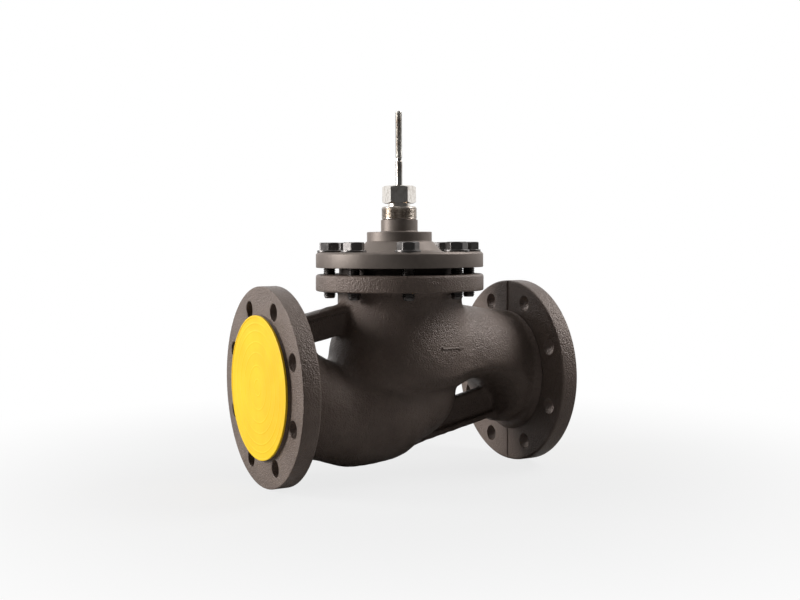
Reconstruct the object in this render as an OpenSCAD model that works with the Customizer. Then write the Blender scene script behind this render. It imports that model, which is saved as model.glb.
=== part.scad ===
// Two-way flanged globe control valve with a bare stem, ready for a drive.
// Flow runs along +X, the stem stands along +Z, and y = 0 is the plane of symmetry.
// The origin is on the stem axis, level with the lowest point of the pipe flanges.

/* [Pipe flanges] */
// Distance between the two raised faces
face_to_face = 350; // [320:1:400]
// Nominal bore of the ports
bore_d = 100; // [90:1:110]
// Pitch circle diameter of the pipe bolts
pipe_bolt_circle_d = 180; // [176:1:210]
// Distance from that circle out to the flange's rim
pipe_flange_rim = 20; // [14:0.5:26]
// Distance from that circle in to the raised face
raised_face_step = 11; // [10:0.5:16]
// Thickness of a pipe flange without its raised face
pipe_flange_t = 21; // [16:0.5:26]
// Height of the raised face
raised_face_h = 3; // [1:0.5:4]
// Diameter of the pipe bolt holes
pipe_bolt_hole_d = 19; // [14:0.5:20]
// Number of pipe bolts
pipe_bolt_count = 8; // [4:4:8]

/* [Casting] */
// Thickness of the cast wall
wall_t = 10; // [8:0.5:12]
// Swelling of the passages' shells where they meet the pipe flanges
pipe_neck_swell = 6; // [4:0.5:7]
// Narrowing of the inlet passage's radius at its bend
bend_draw = 2; // [0:0.5:4]
// Place of that bend between the stem and the pipe flange
bend_share = 0.742; // [0.7:0.002:0.78]
// Distance of that bend below the bore axis
bend_drop = 24; // [20:1:28]
// Narrowing of the inlet passage's radius at its knuckle
knuckle_draw = 1; // [0:0.5:4]
// Place of the knuckle between the stem and the pipe flange
knuckle_share = 0.45; // [0.42:0.002:0.48]
// Distance of the knuckle below the bore axis
knuckle_drop = 38; // [34:1:42]
// Radial room between the seat's bore and the bowl under it
bowl_room = 4; // [2:0.5:6]
// Place of the bowl between the stem and the pipe flange
bowl_share = 0.02; // [0:0.002:0.03]
// Distance of the bowl's middle below the bore axis
bowl_drop = 12; // [10:0.5:15]
// Radius that the belly has more than the bowl
belly_bulge = 6; // [3:0.5:8]
// Place of the belly between the stem and the pipe flange
belly_share = 0.232; // [0.2:0.002:0.26]
// Distance of the belly's middle below the bore axis
belly_drop = 26; // [22:1:30]
// Radius that the chamber's shell has more than the neck above it
barrel_bulge = 11.2; // [8:0.1:14]
// Height of the chamber's middle above the bore axis
barrel_rise = 20; // [17:0.5:24]
// Radius that the outlet's shell has more than the neck
outlet_bulge = 4.2; // [2:0.1:6]
// Height of the outlet shell's axis at the pipe flange
outlet_shell_rise = 4; // [0:0.5:6]
// Radius of the cove under the outlet passage
cove_r = 40; // [34:0.5:44]
// Place of the cove's axis between the stem and the pipe flange
cove_share = 0.596; // [0.57:0.002:0.62]
// Distance of the cove's axis below the bore axis
cove_drop = 43; // [40:0.5:48]

/* [Struts] */
// Thickness of a strut's web
strut_web_t = 12; // [8:0.5:16]
// Width of a strut's lip
strut_lip_w = 24; // [18:0.5:30]
// Thickness of a strut's lip
strut_lip_t = 7; // [4:0.5:10]
// Height of the inlet strut
inlet_strut_h = 33; // [26:0.5:36]
// Height of the inlet strut's top edge at the pipe flange
inlet_strut_flange_z = 70; // [66:0.5:74]
// Drop from the casting's cover flange to the inlet strut's top edge at the neck
inlet_strut_neck_drop = 11.6; // [8:0.1:15]
// Height of the outlet strut
outlet_strut_h = 38; // [30:0.5:40]
// Depth of the outlet strut's bottom edge at the pipe flange
outlet_strut_flange_drop = 48; // [46:0.5:54]
// Depth of the outlet strut's bottom edge under the seat
outlet_strut_seat_drop = 81; // [78:0.5:84]

/* [Cover joint] */
// Height of the casting's top face above the bore axis
cover_face_h = 120.6; // [118:0.2:130]
// Wall of the neck under the cover flange
neck_wall_t = 10.8; // [9:0.1:12]
// Distance from the neck out to the circle of the cover screws
cover_bolt_step = 9.2; // [8.5:0.1:12]
// Distance from that circle out to the flanges' rim
cover_flange_rim = 15.5; // [13:0.1:20]
// Thickness of the casting's cover flange
body_flange_t = 19; // [16:0.5:22]
// Thickness of the cover's own flange
bonnet_flange_t = 17.5; // [15:0.5:22]
// Open gap between the two flanges
flange_gap = 7.7; // [4:0.1:9]
// Number of cover screws
cover_bolt_count = 8; // [4:4:8]
// Radial room for the seat ring to pass down the neck
seat_room = 1.5; // [1:0.1:3]
// Width of the gasket's face between the neck's bore and its recess
gasket_w = 9; // [7:0.1:9.5]
// Depth of the recess for the gasket
gasket_recess = 4; // [3:0.2:6]
// Thickness of the cover gasket
gasket_t = 2; // [1:0.1:2.5]

/* [Cover] */
// Height of the cover's cone
cone_h = 11.7; // [9:0.1:16]
// Diameter of the cone where it leaves the flange
cone_base_d = 98.4; // [88:0.2:106]
// Diameter of the flat boss that a drive stands on
boss_d = 75; // [64:0.5:80]
// Height of that boss
boss_h = 11.3; // [8:0.1:16]
// Radius that the neck above the boss has more than the drive's thread
bonnet_neck_step = 0.7; // [0.2:0.1:2]
// Height of the neck above the boss
bonnet_neck_h = 14; // [10:0.1:18]
// Depth of the cover's spigot below the gasket
spigot_h = 10.6; // [8:0.1:14]
// Depth of the hollow in the cover's underside
bonnet_hollow_h = 25; // [18:0.5:27]
// Diameter of the hub in that hollow
bonnet_hub_d = 48; // [40:0.5:52]

/* [Cover screws] */
// Thread diameter of a cover screw
cover_bolt_d = 14; // [10:0.5:15]
// Length of a cover screw under its head
cover_bolt_len = 55; // [52:0.5:62]
// Width across flats of a screw's head
cover_bolt_flats = 22; // [19:0.5:24]
// Height of a screw's head
cover_bolt_head_h = 8.8; // [7:0.1:11]
// Outside diameter of a washer
washer_d = 28; // [24:0.5:29]
// Thickness of a washer
washer_t = 2.5; // [1.5:0.1:3]

/* [Stem packing] */
// Diameter of the sleeve's outside thread, for the drive
sleeve_thread_d = 41; // [38:0.1:42]
// Length of that thread
sleeve_thread_h = 15; // [12:0.5:20]
// Diameter of the sleeve's screwed-in spigot
sleeve_spigot_d = 30; // [29:0.1:33]
// Diameter of the chamber for the packing
packing_d = 20; // [18:0.1:21]
// Height of the packing spring as fitted
packing_spring_h = 12; // [10:0.5:14]
// Number of packing rings
packing_count = 5; // [3:1:5]
// Height of one packing ring
packing_ring_h = 3.5; // [3:0.1:3.8]
// Width across flats of the gland nut
gland_nut_flats = 34; // [32:0.5:36]
// Height of the gland nut's hexagon
gland_nut_h = 20.3; // [16:0.1:24]
// Diameter of the gland nut's shank
gland_shank_d = 26; // [24:0.1:27]
// Length of that shank that shows below the hexagon
gland_shank_show = 3.7; // [1:0.1:5]

/* [Stem and plug] */
// Diameter of the stem
stem_d = 8; // [7:0.1:8.4]
// Length of stem above the gland nut with the valve shut
stem_out_h = 85.8; // [80:0.2:100]
// Length of thread on the stem's tip
stem_thread_h = 54; // [30:0.5:56]
// Width of the undercut below that thread
undercut_h = 4.1; // [2:0.1:6]
// Depth of the undercut
undercut_depth = 0.8; // [0.4:0.05:1.2]
// Lift of the stem from shut to open
stroke = 40; // [30:1:40]
// Bore of the seat ring
seat_d = 96; // [92:0.2:97]
// Wall of the seat ring's screwed part
seat_wall_t = 6; // [5:0.1:8]
// Width of the seat ring's lip past its thread
seat_lip_w = 5.5; // [4:0.1:7]
// Height of the seat ring's lip
seat_lip_h = 6.5; // [5:0.1:9]
// Thickness of the flat seal under that lip
seat_seal_t = 1.5; // [1:0.1:2]
// Width of the plug's rim past the seat's bore
plug_rim_w = 8; // [6:0.1:9]
// Thickness of the plug's head
plug_head_t = 12; // [9:0.5:14]
// Diameter of the plug's hub
plug_hub_d = 30; // [26:0.5:34]
// Height of the plug's hub
plug_hub_h = 23; // [20:0.5:26]
// Depth of skirt that stays in the seat at full lift
skirt_grip = 4; // [2:0.5:6]
// Thickness of the plug's skirt
plug_skirt_t = 6; // [4:0.5:7]
// Number of ports in the skirt
port_count = 4; // [3:1:6]
// Thickness of the plug's soft seal
plug_seal_t = 3; // [2:0.1:4]
// Diameter of the pin through the plug and stem
plug_pin_d = 4; // [3:0.1:5]

/* [Flange protectors] */
// Distance from the raised face's rim in to the protector's rim
cap_rim_gap = 0.3; // [0:0.1:4]
// Thickness of a protector's disc
cap_t = 2; // [1.5:0.1:3]
// Height of the raised rings on its face
cap_ring_h = 0.5; // [0.3:0.1:1]
// Depth of the collar that plugs the bore
cap_collar_h = 14; // [8:0.5:18]
// Thickness of that collar
cap_collar_t = 2.5; // [1.5:0.1:4]

/* [Fits] */
// Radial running clearance between the stem and its guides
stem_fit = 0.05; // [0.02:0.01:0.08]
// Radial clearance where the stem passes a hole that doesn't guide it
stem_gap = 0.4; // [0.3:0.05:0.6]
// Clearance between pieces that move apart or slide loosely
slip_gap = 0.3; // [0.2:0.05:0.5]
// Radial clearance of the cover screws in the cover
screw_gap = 0.75; // [0.4:0.05:1]
// Radial clearance of the skirt in the seat
skirt_gap = 0.6; // [0.4:0.05:0.8]

/* [Hidden] */

// Overrun of a cut past the surface that it leaves
over = 1;

// Diameters that follow from the seat's bore, outwards
seat_thread_d = seat_d + 2 * seat_wall_t;
seat_lip_d = seat_thread_d + 2 * seat_lip_w;
plug_d = seat_d + 2 * plug_rim_w;
cover_bore_d = seat_lip_d + 2 * seat_room;
male_face_d = cover_bore_d + 2 * gasket_w;
neck_d = cover_bore_d + 2 * neck_wall_t;
cover_bolt_circle_d = neck_d + 2 * cover_bolt_step;
cover_flange_d = cover_bolt_circle_d + 2 * cover_flange_rim;
bonnet_neck_d = sleeve_thread_d + 2 * bonnet_neck_step;
undercut_d = stem_d - 2 * undercut_depth;

// Diameters of the pipe flanges and of the protectors on them
pipe_flange_d = pipe_bolt_circle_d + 2 * pipe_flange_rim;
raised_face_d = pipe_bolt_circle_d - 2 * raised_face_step;
cap_d = raised_face_d - 2 * cap_rim_gap;

// Radii of the casting's outer shell
bore_shell_r = bore_d / 2 + wall_t;
pipe_neck_r = bore_shell_r + pipe_neck_swell;
bend_r = bore_shell_r - bend_draw;
knuckle_r = bore_shell_r - knuckle_draw;
bowl_r = seat_d / 2 + bowl_room + wall_t;
belly_r = bowl_r + belly_bulge;
barrel_r = neck_d / 2 + barrel_bulge;
outlet_shell_r = neck_d / 2 + outlet_bulge;

// Places along the bore axis
bore_axis_h = pipe_flange_d / 2;
face_x = face_to_face / 2;
flange_front_x = face_x - raised_face_h;
flange_back_x = flange_front_x - pipe_flange_t;
bend_x = bend_share * flange_back_x;
knuckle_x = knuckle_share * flange_back_x;
belly_x = belly_share * flange_back_x;
bowl_split_x = (knuckle_x + belly_x) / 2;
bowl_x = bowl_share * flange_back_x;
cove_x = cove_share * flange_back_x;
rim_chamfer = 2;
hub_bead_h = 5;
hub_bead_w = 8;

// The tubes lie this far inside the balls that they join
tube_step = 2;

// The bridge that carries the seat lies just under the bore axis
bridge_top = 6;
bridge_t = 14;
bridge_bottom = bridge_top - bridge_t;
outlet_floor_z = bridge_bottom + wall_t / 2;
barrel_foot_r = seat_lip_d / 2 + wall_t;
plug_skirt_h = stroke + skirt_grip;
seat_pocket_h = plug_skirt_h - bridge_t - seat_lip_h;

// Heights up the stem axis, from the bore axis
seat_lip_z = bridge_top + seat_seal_t;
seat_top = seat_lip_z + seat_lip_h;
plug_seal_z = seat_top + slip_gap;
plug_head_z = plug_seal_z + plug_seal_t;
plug_hub_z = plug_head_z + plug_head_t;
plug_top = plug_hub_z + plug_hub_h;
plug_pin_z = plug_hub_z + plug_hub_h / 2;
inlet_strut_neck_z = cover_face_h - body_flange_t - inlet_strut_neck_drop;
gasket_z = cover_face_h - gasket_recess;
male_face_z = gasket_z + gasket_t;
bonnet_z = cover_face_h + flange_gap;
bonnet_top = bonnet_z + bonnet_flange_t;
boss_z = bonnet_top + cone_h;
boss_top = boss_z + boss_h;
bonnet_neck_top = boss_top + bonnet_neck_h;
spigot_bottom = male_face_z - spigot_h;
sleeve_top = bonnet_neck_top + sleeve_thread_h;
nut_z = sleeve_top + gland_shank_show;
nut_top = nut_z + gland_nut_h;
stem_top = nut_top + stem_out_h;
stem_thread_z = stem_top - stem_thread_h;

// Packing stack, from the gland bush downwards
gland_bush_flange_t = 2;
gland_bush_h = 8;
gland_thread_depth = 12.8;
shank_end_z = sleeve_top - gland_thread_depth + gland_bush_flange_t;
gland_bush_z = sleeve_top - gland_thread_depth - gland_bush_h;
packing_z = gland_bush_z - packing_count * packing_ring_h;
spring_washer_t = 1.5;
spring_z = packing_z - spring_washer_t - packing_spring_h;
sleeve_floor_t = 5.5;
sleeve_bottom = spring_z - sleeve_floor_t;
sleeve_gasket_t = 1.5;
sleeve_seat_z = sleeve_bottom - sleeve_gasket_t;

// Small sizes inside the cover
hub_drop = 4;
guide_bush_d = 14;
guide_bush_h = 26;
hub_bottom = spigot_bottom - hub_drop;
hollow_rim_t = 10.5;
packing_ring_gap = 0.15;
spring_wire_d = 3;
wiper_d = 16;
wiper_h = 4.8;
wiper_recess = 6;

// Radii that pieces share
neck_r = neck_d / 2;
cover_bore_r = cover_bore_d / 2;
cover_bolt_r = cover_bolt_circle_d / 2;
spigot_r = cover_bore_r - 0.5 * screw_gap;
skirt_r = seat_d / 2 - skirt_gap;
stem_guide_r = stem_d / 2 + stem_fit;
stem_hole_r = stem_d / 2 + stem_gap;
hex_share = 2 / sqrt(3);
half_pitch_share = 0.5;

// Round surfaces are drawn with this many sides
$fn = 72;

module on_bore_axis() {
    translate([0, 0, bore_axis_h])
        children();
}

module along_x(x) {
    translate([x, 0, 0])
        rotate([0, 90, 0])
            children();
}

// A ring about the stem axis
module ring(outer_r, inner_r, z, h) {
    translate([0, 0, z])
        difference() {
            cylinder(r = outer_r, h = h);
            translate([0, 0, -over])
                cylinder(r = inner_r, h = h + 2 * over);
        }
}

// Places copies round the stem axis, half a pitch away from the bore axis
module round_stem(count, r) {
    for (i = [0 : count - 1])
        rotate([0, 0, (i + half_pitch_share) * 360 / count])
            translate([r, 0, 0])
                children();
}

// A hexagonal prism with its corners turned off at both ends
module hexagon(flats, h, top_cut_share, bottom_cut_share) {
    corner_r = flats * hex_share / 2;
    cut = corner_r - flats / 2;
    intersection() {
        rotate([0, 0, 30])
            cylinder(r = corner_r, h = h, $fn = 6);
        rotate_extrude()
            polygon([[0, 0], [corner_r - cut * bottom_cut_share, 0],
                [corner_r, cut * bottom_cut_share / 2], [corner_r, h - cut * top_cut_share / 2],
                [corner_r - cut * top_cut_share, h], [0, h]]);
    }
}

// A cone between two points of the plane y = 0
module tube(from_x, from_z, from_r, to_x, to_z, to_r) {
    run = to_x - from_x;
    rise = to_z - from_z;
    translate([from_x, 0, from_z])
        rotate([0, atan2(run, rise), 0])
            cylinder(r1 = from_r, r2 = to_r, h = norm([run, rise]));
}

module ball(x, z, r) {
    translate([x, 0, z])
        sphere(r = r);
}

// Everything between the two pipe flanges
module between_flanges(reach_x) {
    intersection() {
        children();
        cube([2 * reach_x, 2 * pipe_flange_d, 2 * pipe_flange_d], center = true);
    }
}

// The inlet passage: a falling tube, a knuckle, the belly and the bowl under the seat
module inlet_lobe(inset) {
    tube_inset = inset + tube_step;
    ball(-flange_back_x, 0, pipe_neck_r - inset);
    tube(-flange_back_x, 0, pipe_neck_r - tube_inset, -bend_x, -bend_drop, bend_r - tube_inset);
    ball(-bend_x, -bend_drop, bend_r - inset);
    tube(-bend_x, -bend_drop, bend_r - tube_inset, -knuckle_x, -knuckle_drop, knuckle_r - tube_inset);
    ball(-knuckle_x, -knuckle_drop, knuckle_r - inset);
    ball(-belly_x, -belly_drop, belly_r - inset);
    ball(bowl_x, -bowl_drop, bowl_r - inset);
}

// The outlet passage: a wide tube with a cove cut out of its underside
module outlet_lobe(inset, floor_z) {
    difference() {
        tube(0, barrel_rise, outlet_shell_r - inset,
            flange_back_x, outlet_shell_rise, pipe_neck_r - inset);
        translate([cove_x, 0, -cove_drop])
            rotate([90, 0, 0])
                cylinder(r = cove_r + inset, h = 2 * pipe_flange_d, center = true);
        translate([cove_x - face_to_face, -face_to_face, floor_z - face_to_face])
            cube([face_to_face, 2 * face_to_face, face_to_face]);
    }
}

// The chamber above the seat, cut flat at a height, with a chamfered foot
module barrel(inset, floor_z, foot_r) {
    intersection() {
        ball(0, barrel_rise, barrel_r - inset);
        translate([0, 0, floor_z])
            cylinder(r1 = foot_r, r2 = foot_r + 2 * barrel_r, h = 2 * barrel_r);
    }
}

module pipe_flange(side) {
    rim_r = pipe_flange_d / 2;
    face_r = raised_face_d / 2;
    mirror([side > 0 ? 0 : 1, 0, 0])
        along_x(flange_back_x)
            difference() {
                rotate_extrude()
                    polygon([[0, 0], [rim_r - rim_chamfer, 0], [rim_r, rim_chamfer],
                        [rim_r, pipe_flange_t - rim_chamfer], [rim_r - rim_chamfer, pipe_flange_t],
                        [face_r, pipe_flange_t], [face_r - rim_chamfer / 2, pipe_flange_t + raised_face_h],
                        [0, pipe_flange_t + raised_face_h]]);
                for (i = [0 : pipe_bolt_count - 1])
                    rotate([0, 0, (i + half_pitch_share) * 360 / pipe_bolt_count])
                        translate([pipe_bolt_circle_d / 2, 0, -over])
                            cylinder(d = pipe_bolt_hole_d, h = pipe_flange_t + 2 * over);
            }
}

// The bore of a pipe flange, which reaches into the passage behind it
module flange_bore(side) {
    along_x(side > 0 ? flange_back_x - wall_t : -face_x - over)
        cylinder(d = bore_d, h = face_x - flange_back_x + wall_t + over);
}

// The swelling where a passage meets its flange
module pipe_hub(side) {
    mirror([side > 0 ? 0 : 1, 0, 0])
        along_x(flange_back_x - hub_bead_w)
            cylinder(r1 = pipe_neck_r, r2 = pipe_neck_r + hub_bead_h, h = hub_bead_w + over);
}

// A sloping strut with a web and a lip; h is the web's height, below its top edge if positive
module strut(from_x, from_z, to_x, to_z, h) {
    lip = sign(h) * strut_lip_t;
    rotate([90, 0, 0]) {
        linear_extrude(height = strut_web_t, center = true)
            polygon([[from_x, from_z], [to_x, to_z], [to_x, to_z - h], [from_x, from_z - h]]);
        linear_extrude(height = strut_lip_w, center = true)
            polygon([[from_x, from_z], [to_x, to_z], [to_x, to_z - lip], [from_x, from_z - lip]]);
    }
}

// The chamber above the seat with its outlet passage and the neck, still solid
module chamber_shell() {
    between_flanges(flange_back_x) {
        union() {
            outlet_lobe(0, outlet_floor_z);
            barrel(0, bridge_bottom, barrel_foot_r);
            pipe_hub(1);
        }
    }
    translate([0, 0, barrel_rise])
        cylinder(r = neck_r, h = cover_face_h - body_flange_t - barrel_rise);
}

// The inlet passage with the bowl under the seat, still solid
module inlet_shell() {
    between_flanges(flange_back_x) {
        union() {
            inlet_lobe(0);
            pipe_hub(-1);
        }
    }
}

module inlet_cavity() {
    between_flanges(flange_back_x) {
        union() {
            inlet_lobe(wall_t);
            translate([0, 0, bridge_bottom - seat_pocket_h])
                cylinder(r = seat_d / 2 + 2 * skirt_gap, h = seat_pocket_h);
        }
    }
    flange_bore(-1);
}

module chamber_cavity() {
    barrel(wall_t, bridge_top, barrel_r);
    between_flanges(flange_back_x)
        outlet_lobe(wall_t, bridge_top);
    translate([0, 0, barrel_rise])
        cylinder(r = cover_bore_r, h = cover_face_h);
    translate([0, 0, bridge_bottom - over])
        cylinder(d = seat_thread_d, h = bridge_t + 2 * over);
    flange_bore(1);
}

module valve_body() {
    color([0.24, 0.22, 0.22])
        on_bore_axis()
            difference() {
                chamber_shell();
                chamber_cavity();
            }
}

// The part of the inlet's casting on one side of the plane between its passage and its bowl
module inlet_casting(side) {
    intersection() {
        difference() {
            inlet_shell();
            inlet_cavity();
            chamber_shell();
        }
        translate([side * face_to_face - bowl_split_x, 0, 0])
            cube(2 * face_to_face, center = true);
    }
}

module inlet_chamber() {
    color([0.25, 0.23, 0.23])
        on_bore_axis()
            inlet_casting(-1);
}

module inlet_bowl() {
    color([0.26, 0.24, 0.24])
        on_bore_axis()
            inlet_casting(1);
}

module inlet_flange() {
    color([0.27, 0.25, 0.25])
        on_bore_axis()
            difference() {
                pipe_flange(-1);
                flange_bore(-1);
            }
}

module outlet_flange() {
    color([0.27, 0.25, 0.25])
        on_bore_axis()
            difference() {
                pipe_flange(1);
                flange_bore(1);
            }
}

// The flange that the cover sits on, with the recess for its gasket
module top_flange() {
    flange_r = cover_flange_d / 2;
    face_z = cover_face_h - body_flange_t;
    color([0.27, 0.25, 0.25])
        on_bore_axis()
            difference() {
                translate([0, 0, face_z])
                    rotate_extrude()
                        polygon([[cover_bore_r, 0], [flange_r - rim_chamfer, 0],
                            [flange_r, rim_chamfer], [flange_r, body_flange_t - rim_chamfer],
                            [flange_r - rim_chamfer, body_flange_t], [cover_bore_r, body_flange_t]]);
                translate([0, 0, gasket_z])
                    cylinder(r = male_face_d / 2 + slip_gap, h = gasket_recess + over);
                round_stem(cover_bolt_count, cover_bolt_r)
                    translate([0, 0, face_z - over])
                        cylinder(d = cover_bolt_d, h = body_flange_t + 2 * over);
            }
}

module inlet_strut() {
    color([0.24, 0.22, 0.22])
        on_bore_axis()
            difference() {
                strut(-flange_back_x, inlet_strut_flange_z, -neck_r + wall_t, inlet_strut_neck_z, inlet_strut_h);
                chamber_shell();
                inlet_shell();
            }
}

module outlet_strut() {
    color([0.24, 0.22, 0.22])
        on_bore_axis()
            difference() {
                strut(flange_back_x, -outlet_strut_flange_drop, 0, -outlet_strut_seat_drop, -outlet_strut_h);
                chamber_shell();
                inlet_shell();
            }
}

module seat_ring() {
    seat_r = seat_d / 2;
    thread_r = seat_thread_d / 2;
    lip_r = seat_lip_d / 2;
    color([0.72, 0.72, 0.7])
        on_bore_axis()
            translate([0, 0, bridge_bottom])
                rotate_extrude()
                    polygon([[seat_r, 0], [thread_r, 0], [thread_r, bridge_t + seat_seal_t],
                        [lip_r, bridge_t + seat_seal_t], [lip_r, seat_top - bridge_bottom],
                        [seat_r, seat_top - bridge_bottom]]);
}

module seat_seal() {
    color([0.2, 0.2, 0.2])
        on_bore_axis()
            ring(seat_lip_d / 2, seat_thread_d / 2 + packing_ring_gap, bridge_top, seat_seal_t);
}

// A port in the skirt: a notch that widens upwards
module port() {
    port_h = plug_skirt_h - plug_skirt_t;
    half_w = PI * skirt_r / port_count - plug_skirt_t;
    translate([0, 0, plug_head_z - plug_seal_t - port_h])
        rotate([90, 0, 0])
            linear_extrude(height = seat_d)
                polygon([[0, 0], [half_w, port_h / 2], [half_w, port_h - plug_skirt_t],
                    [-half_w, port_h - plug_skirt_t], [-half_w, port_h / 2]]);
}

module plug() {
    color([0.74, 0.73, 0.7])
        on_bore_axis()
            difference() {
                union() {
                    translate([0, 0, plug_head_z])
                        cylinder(d = plug_d, h = plug_head_t);
                    translate([0, 0, plug_hub_z])
                        cylinder(d = plug_hub_d, h = plug_hub_h);
                    translate([0, 0, plug_head_z - plug_skirt_h])
                        cylinder(r = skirt_r, h = plug_skirt_h);
                }
                translate([0, 0, plug_head_z - plug_skirt_h - over])
                    cylinder(r = skirt_r - plug_skirt_t, h = plug_skirt_h + over);
                translate([0, 0, plug_head_z - over])
                    cylinder(d = stem_d, h = plug_head_t + plug_hub_h + 2 * over);
                translate([0, 0, plug_pin_z])
                    rotate([90, 0, 0])
                        cylinder(d = plug_pin_d, h = plug_hub_d + 2 * over, center = true);
                for (i = [0 : port_count - 1])
                    rotate([0, 0, (i + half_pitch_share) * 360 / port_count])
                        port();
            }
}

module plug_seal() {
    color([0.12, 0.12, 0.12])
        on_bore_axis()
            ring(plug_d / 2, skirt_r + packing_ring_gap, plug_seal_z, plug_seal_t);
}

module plug_pin() {
    color([0.6, 0.6, 0.6])
        on_bore_axis()
            translate([0, 0, plug_pin_z])
                rotate([90, 0, 0])
                    cylinder(d = plug_pin_d, h = plug_hub_d, center = true);
}

module stem() {
    thread_r = stem_d / 2;
    undercut_r = undercut_d / 2;
    tip_cut = thread_r - undercut_r;
    undercut_z = stem_thread_z - undercut_h;
    color([0.8, 0.79, 0.76])
        on_bore_axis()
            difference() {
                rotate_extrude()
                    polygon([[0, plug_head_z], [thread_r, plug_head_z], [thread_r, undercut_z],
                        [undercut_r, undercut_z + tip_cut], [undercut_r, stem_thread_z - tip_cut],
                        [thread_r, stem_thread_z], [thread_r, stem_top - tip_cut],
                        [undercut_r, stem_top], [0, stem_top]]);
                translate([0, 0, plug_pin_z])
                    rotate([90, 0, 0])
                        cylinder(d = plug_pin_d, h = plug_hub_d, center = true);
            }
}

module bonnet_outline() {
    flange_r = cover_flange_d / 2;
    male_r = male_face_d / 2;
    rotate_extrude()
        polygon([[0, spigot_bottom], [spigot_r, spigot_bottom], [spigot_r, male_face_z],
            [male_r, male_face_z], [male_r, bonnet_z], [flange_r - rim_chamfer / 2, bonnet_z],
            [flange_r, bonnet_z + rim_chamfer / 2], [flange_r, bonnet_top - rim_chamfer],
            [flange_r - rim_chamfer, bonnet_top], [cone_base_d / 2, bonnet_top],
            [boss_d / 2 + rim_chamfer / 2, boss_z], [boss_d / 2, boss_z],
            [boss_d / 2, boss_top], [bonnet_neck_d / 2 + rim_chamfer / 2, boss_top],
            [bonnet_neck_d / 2, boss_top + rim_chamfer], [bonnet_neck_d / 2, bonnet_neck_top],
            [0, bonnet_neck_top]]);
}

module bonnet() {
    color([0.24, 0.22, 0.22])
        on_bore_axis()
            difference() {
                union() {
                    difference() {
                        bonnet_outline();
                        translate([0, 0, spigot_bottom - over])
                            cylinder(r = spigot_r - hollow_rim_t, h = bonnet_hollow_h + over);
                    }
                    translate([0, 0, hub_bottom])
                        cylinder(d = bonnet_hub_d, h = hub_drop + bonnet_hollow_h + over);
                }
                translate([0, 0, hub_bottom - over])
                    cylinder(d = guide_bush_d, h = sleeve_seat_z - hub_bottom + 2 * over);
                translate([0, 0, sleeve_seat_z])
                    cylinder(d = sleeve_spigot_d, h = bonnet_neck_top - sleeve_seat_z + over);
                round_stem(cover_bolt_count, cover_bolt_r)
                    translate([0, 0, bonnet_z - over])
                        cylinder(r = cover_bolt_d / 2 + screw_gap, h = bonnet_flange_t + 2 * over);
            }
}

module bonnet_gasket() {
    color([0.3, 0.3, 0.32])
        on_bore_axis()
            ring(male_face_d / 2, cover_bore_r, gasket_z, gasket_t);
}

module bonnet_bolts() {
    head_z = bonnet_top + washer_t;
    thread_r = cover_bolt_d / 2;
    color([0.13, 0.13, 0.14])
        on_bore_axis()
            round_stem(cover_bolt_count, cover_bolt_r)
                translate([0, 0, head_z]) {
                    hexagon(cover_bolt_flats, cover_bolt_head_h, 1, 0);
                    translate([0, 0, -cover_bolt_len])
                        rotate_extrude()
                            polygon([[0, 0], [thread_r - rim_chamfer / 2, 0],
                                [thread_r, rim_chamfer / 2], [thread_r, cover_bolt_len + over],
                                [0, cover_bolt_len + over]]);
                }
}

module bonnet_washers() {
    color([0.15, 0.15, 0.16])
        on_bore_axis()
            round_stem(cover_bolt_count, cover_bolt_r)
                ring(washer_d / 2, cover_bolt_d / 2 + packing_ring_gap, bonnet_top, washer_t);
}

module guide_bush() {
    color([0.72, 0.55, 0.28])
        on_bore_axis()
            ring(guide_bush_d / 2, stem_guide_r, hub_bottom, guide_bush_h);
}

module sleeve_gasket() {
    color([0.3, 0.3, 0.32])
        on_bore_axis()
            ring(sleeve_spigot_d / 2, guide_bush_d / 2, sleeve_seat_z, sleeve_gasket_t);
}

module packing_sleeve() {
    color([0.78, 0.77, 0.74])
        on_bore_axis()
            difference() {
                union() {
                    translate([0, 0, sleeve_bottom])
                        cylinder(d = sleeve_spigot_d, h = sleeve_top - sleeve_bottom);
                    translate([0, 0, bonnet_neck_top])
                        cylinder(d = sleeve_thread_d, h = sleeve_thread_h);
                }
                translate([0, 0, sleeve_bottom - over])
                    cylinder(r = stem_hole_r, h = sleeve_floor_t + 2 * over);
                translate([0, 0, spring_z])
                    cylinder(d = packing_d, h = sleeve_top - spring_z);
                translate([0, 0, sleeve_top - gland_thread_depth])
                    cylinder(d = gland_shank_d, h = gland_thread_depth + over);
            }
}

module packing_spring() {
    color([0.65, 0.65, 0.65])
        on_bore_axis()
            ring(packing_d / 2 - packing_ring_gap, packing_d / 2 - packing_ring_gap - spring_wire_d,
                spring_z, packing_spring_h);
}

module spring_washer() {
    color([0.65, 0.65, 0.65])
        on_bore_axis()
            ring(packing_d / 2 - packing_ring_gap, stem_hole_r, packing_z - spring_washer_t, spring_washer_t);
}

// One packing ring: a shallow V in section
module packing_ring() {
    outer_r = packing_d / 2;
    middle_r = (outer_r + stem_guide_r) / 2;
    lean = packing_ring_h / 2;
    rotate_extrude()
        polygon([[stem_guide_r, 0], [middle_r, lean], [outer_r, 0],
            [outer_r, packing_ring_h - packing_ring_gap], [middle_r, packing_ring_h + lean - packing_ring_gap],
            [stem_guide_r, packing_ring_h - packing_ring_gap]]);
}

module packing_rings() {
    color([0.92, 0.92, 0.9])
        on_bore_axis()
            intersection() {
                for (i = [0 : packing_count - 1])
                    translate([0, 0, packing_z + i * packing_ring_h])
                        packing_ring();
                translate([0, 0, packing_z])
                    cylinder(d = packing_d, h = packing_count * packing_ring_h);
            }
}

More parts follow.
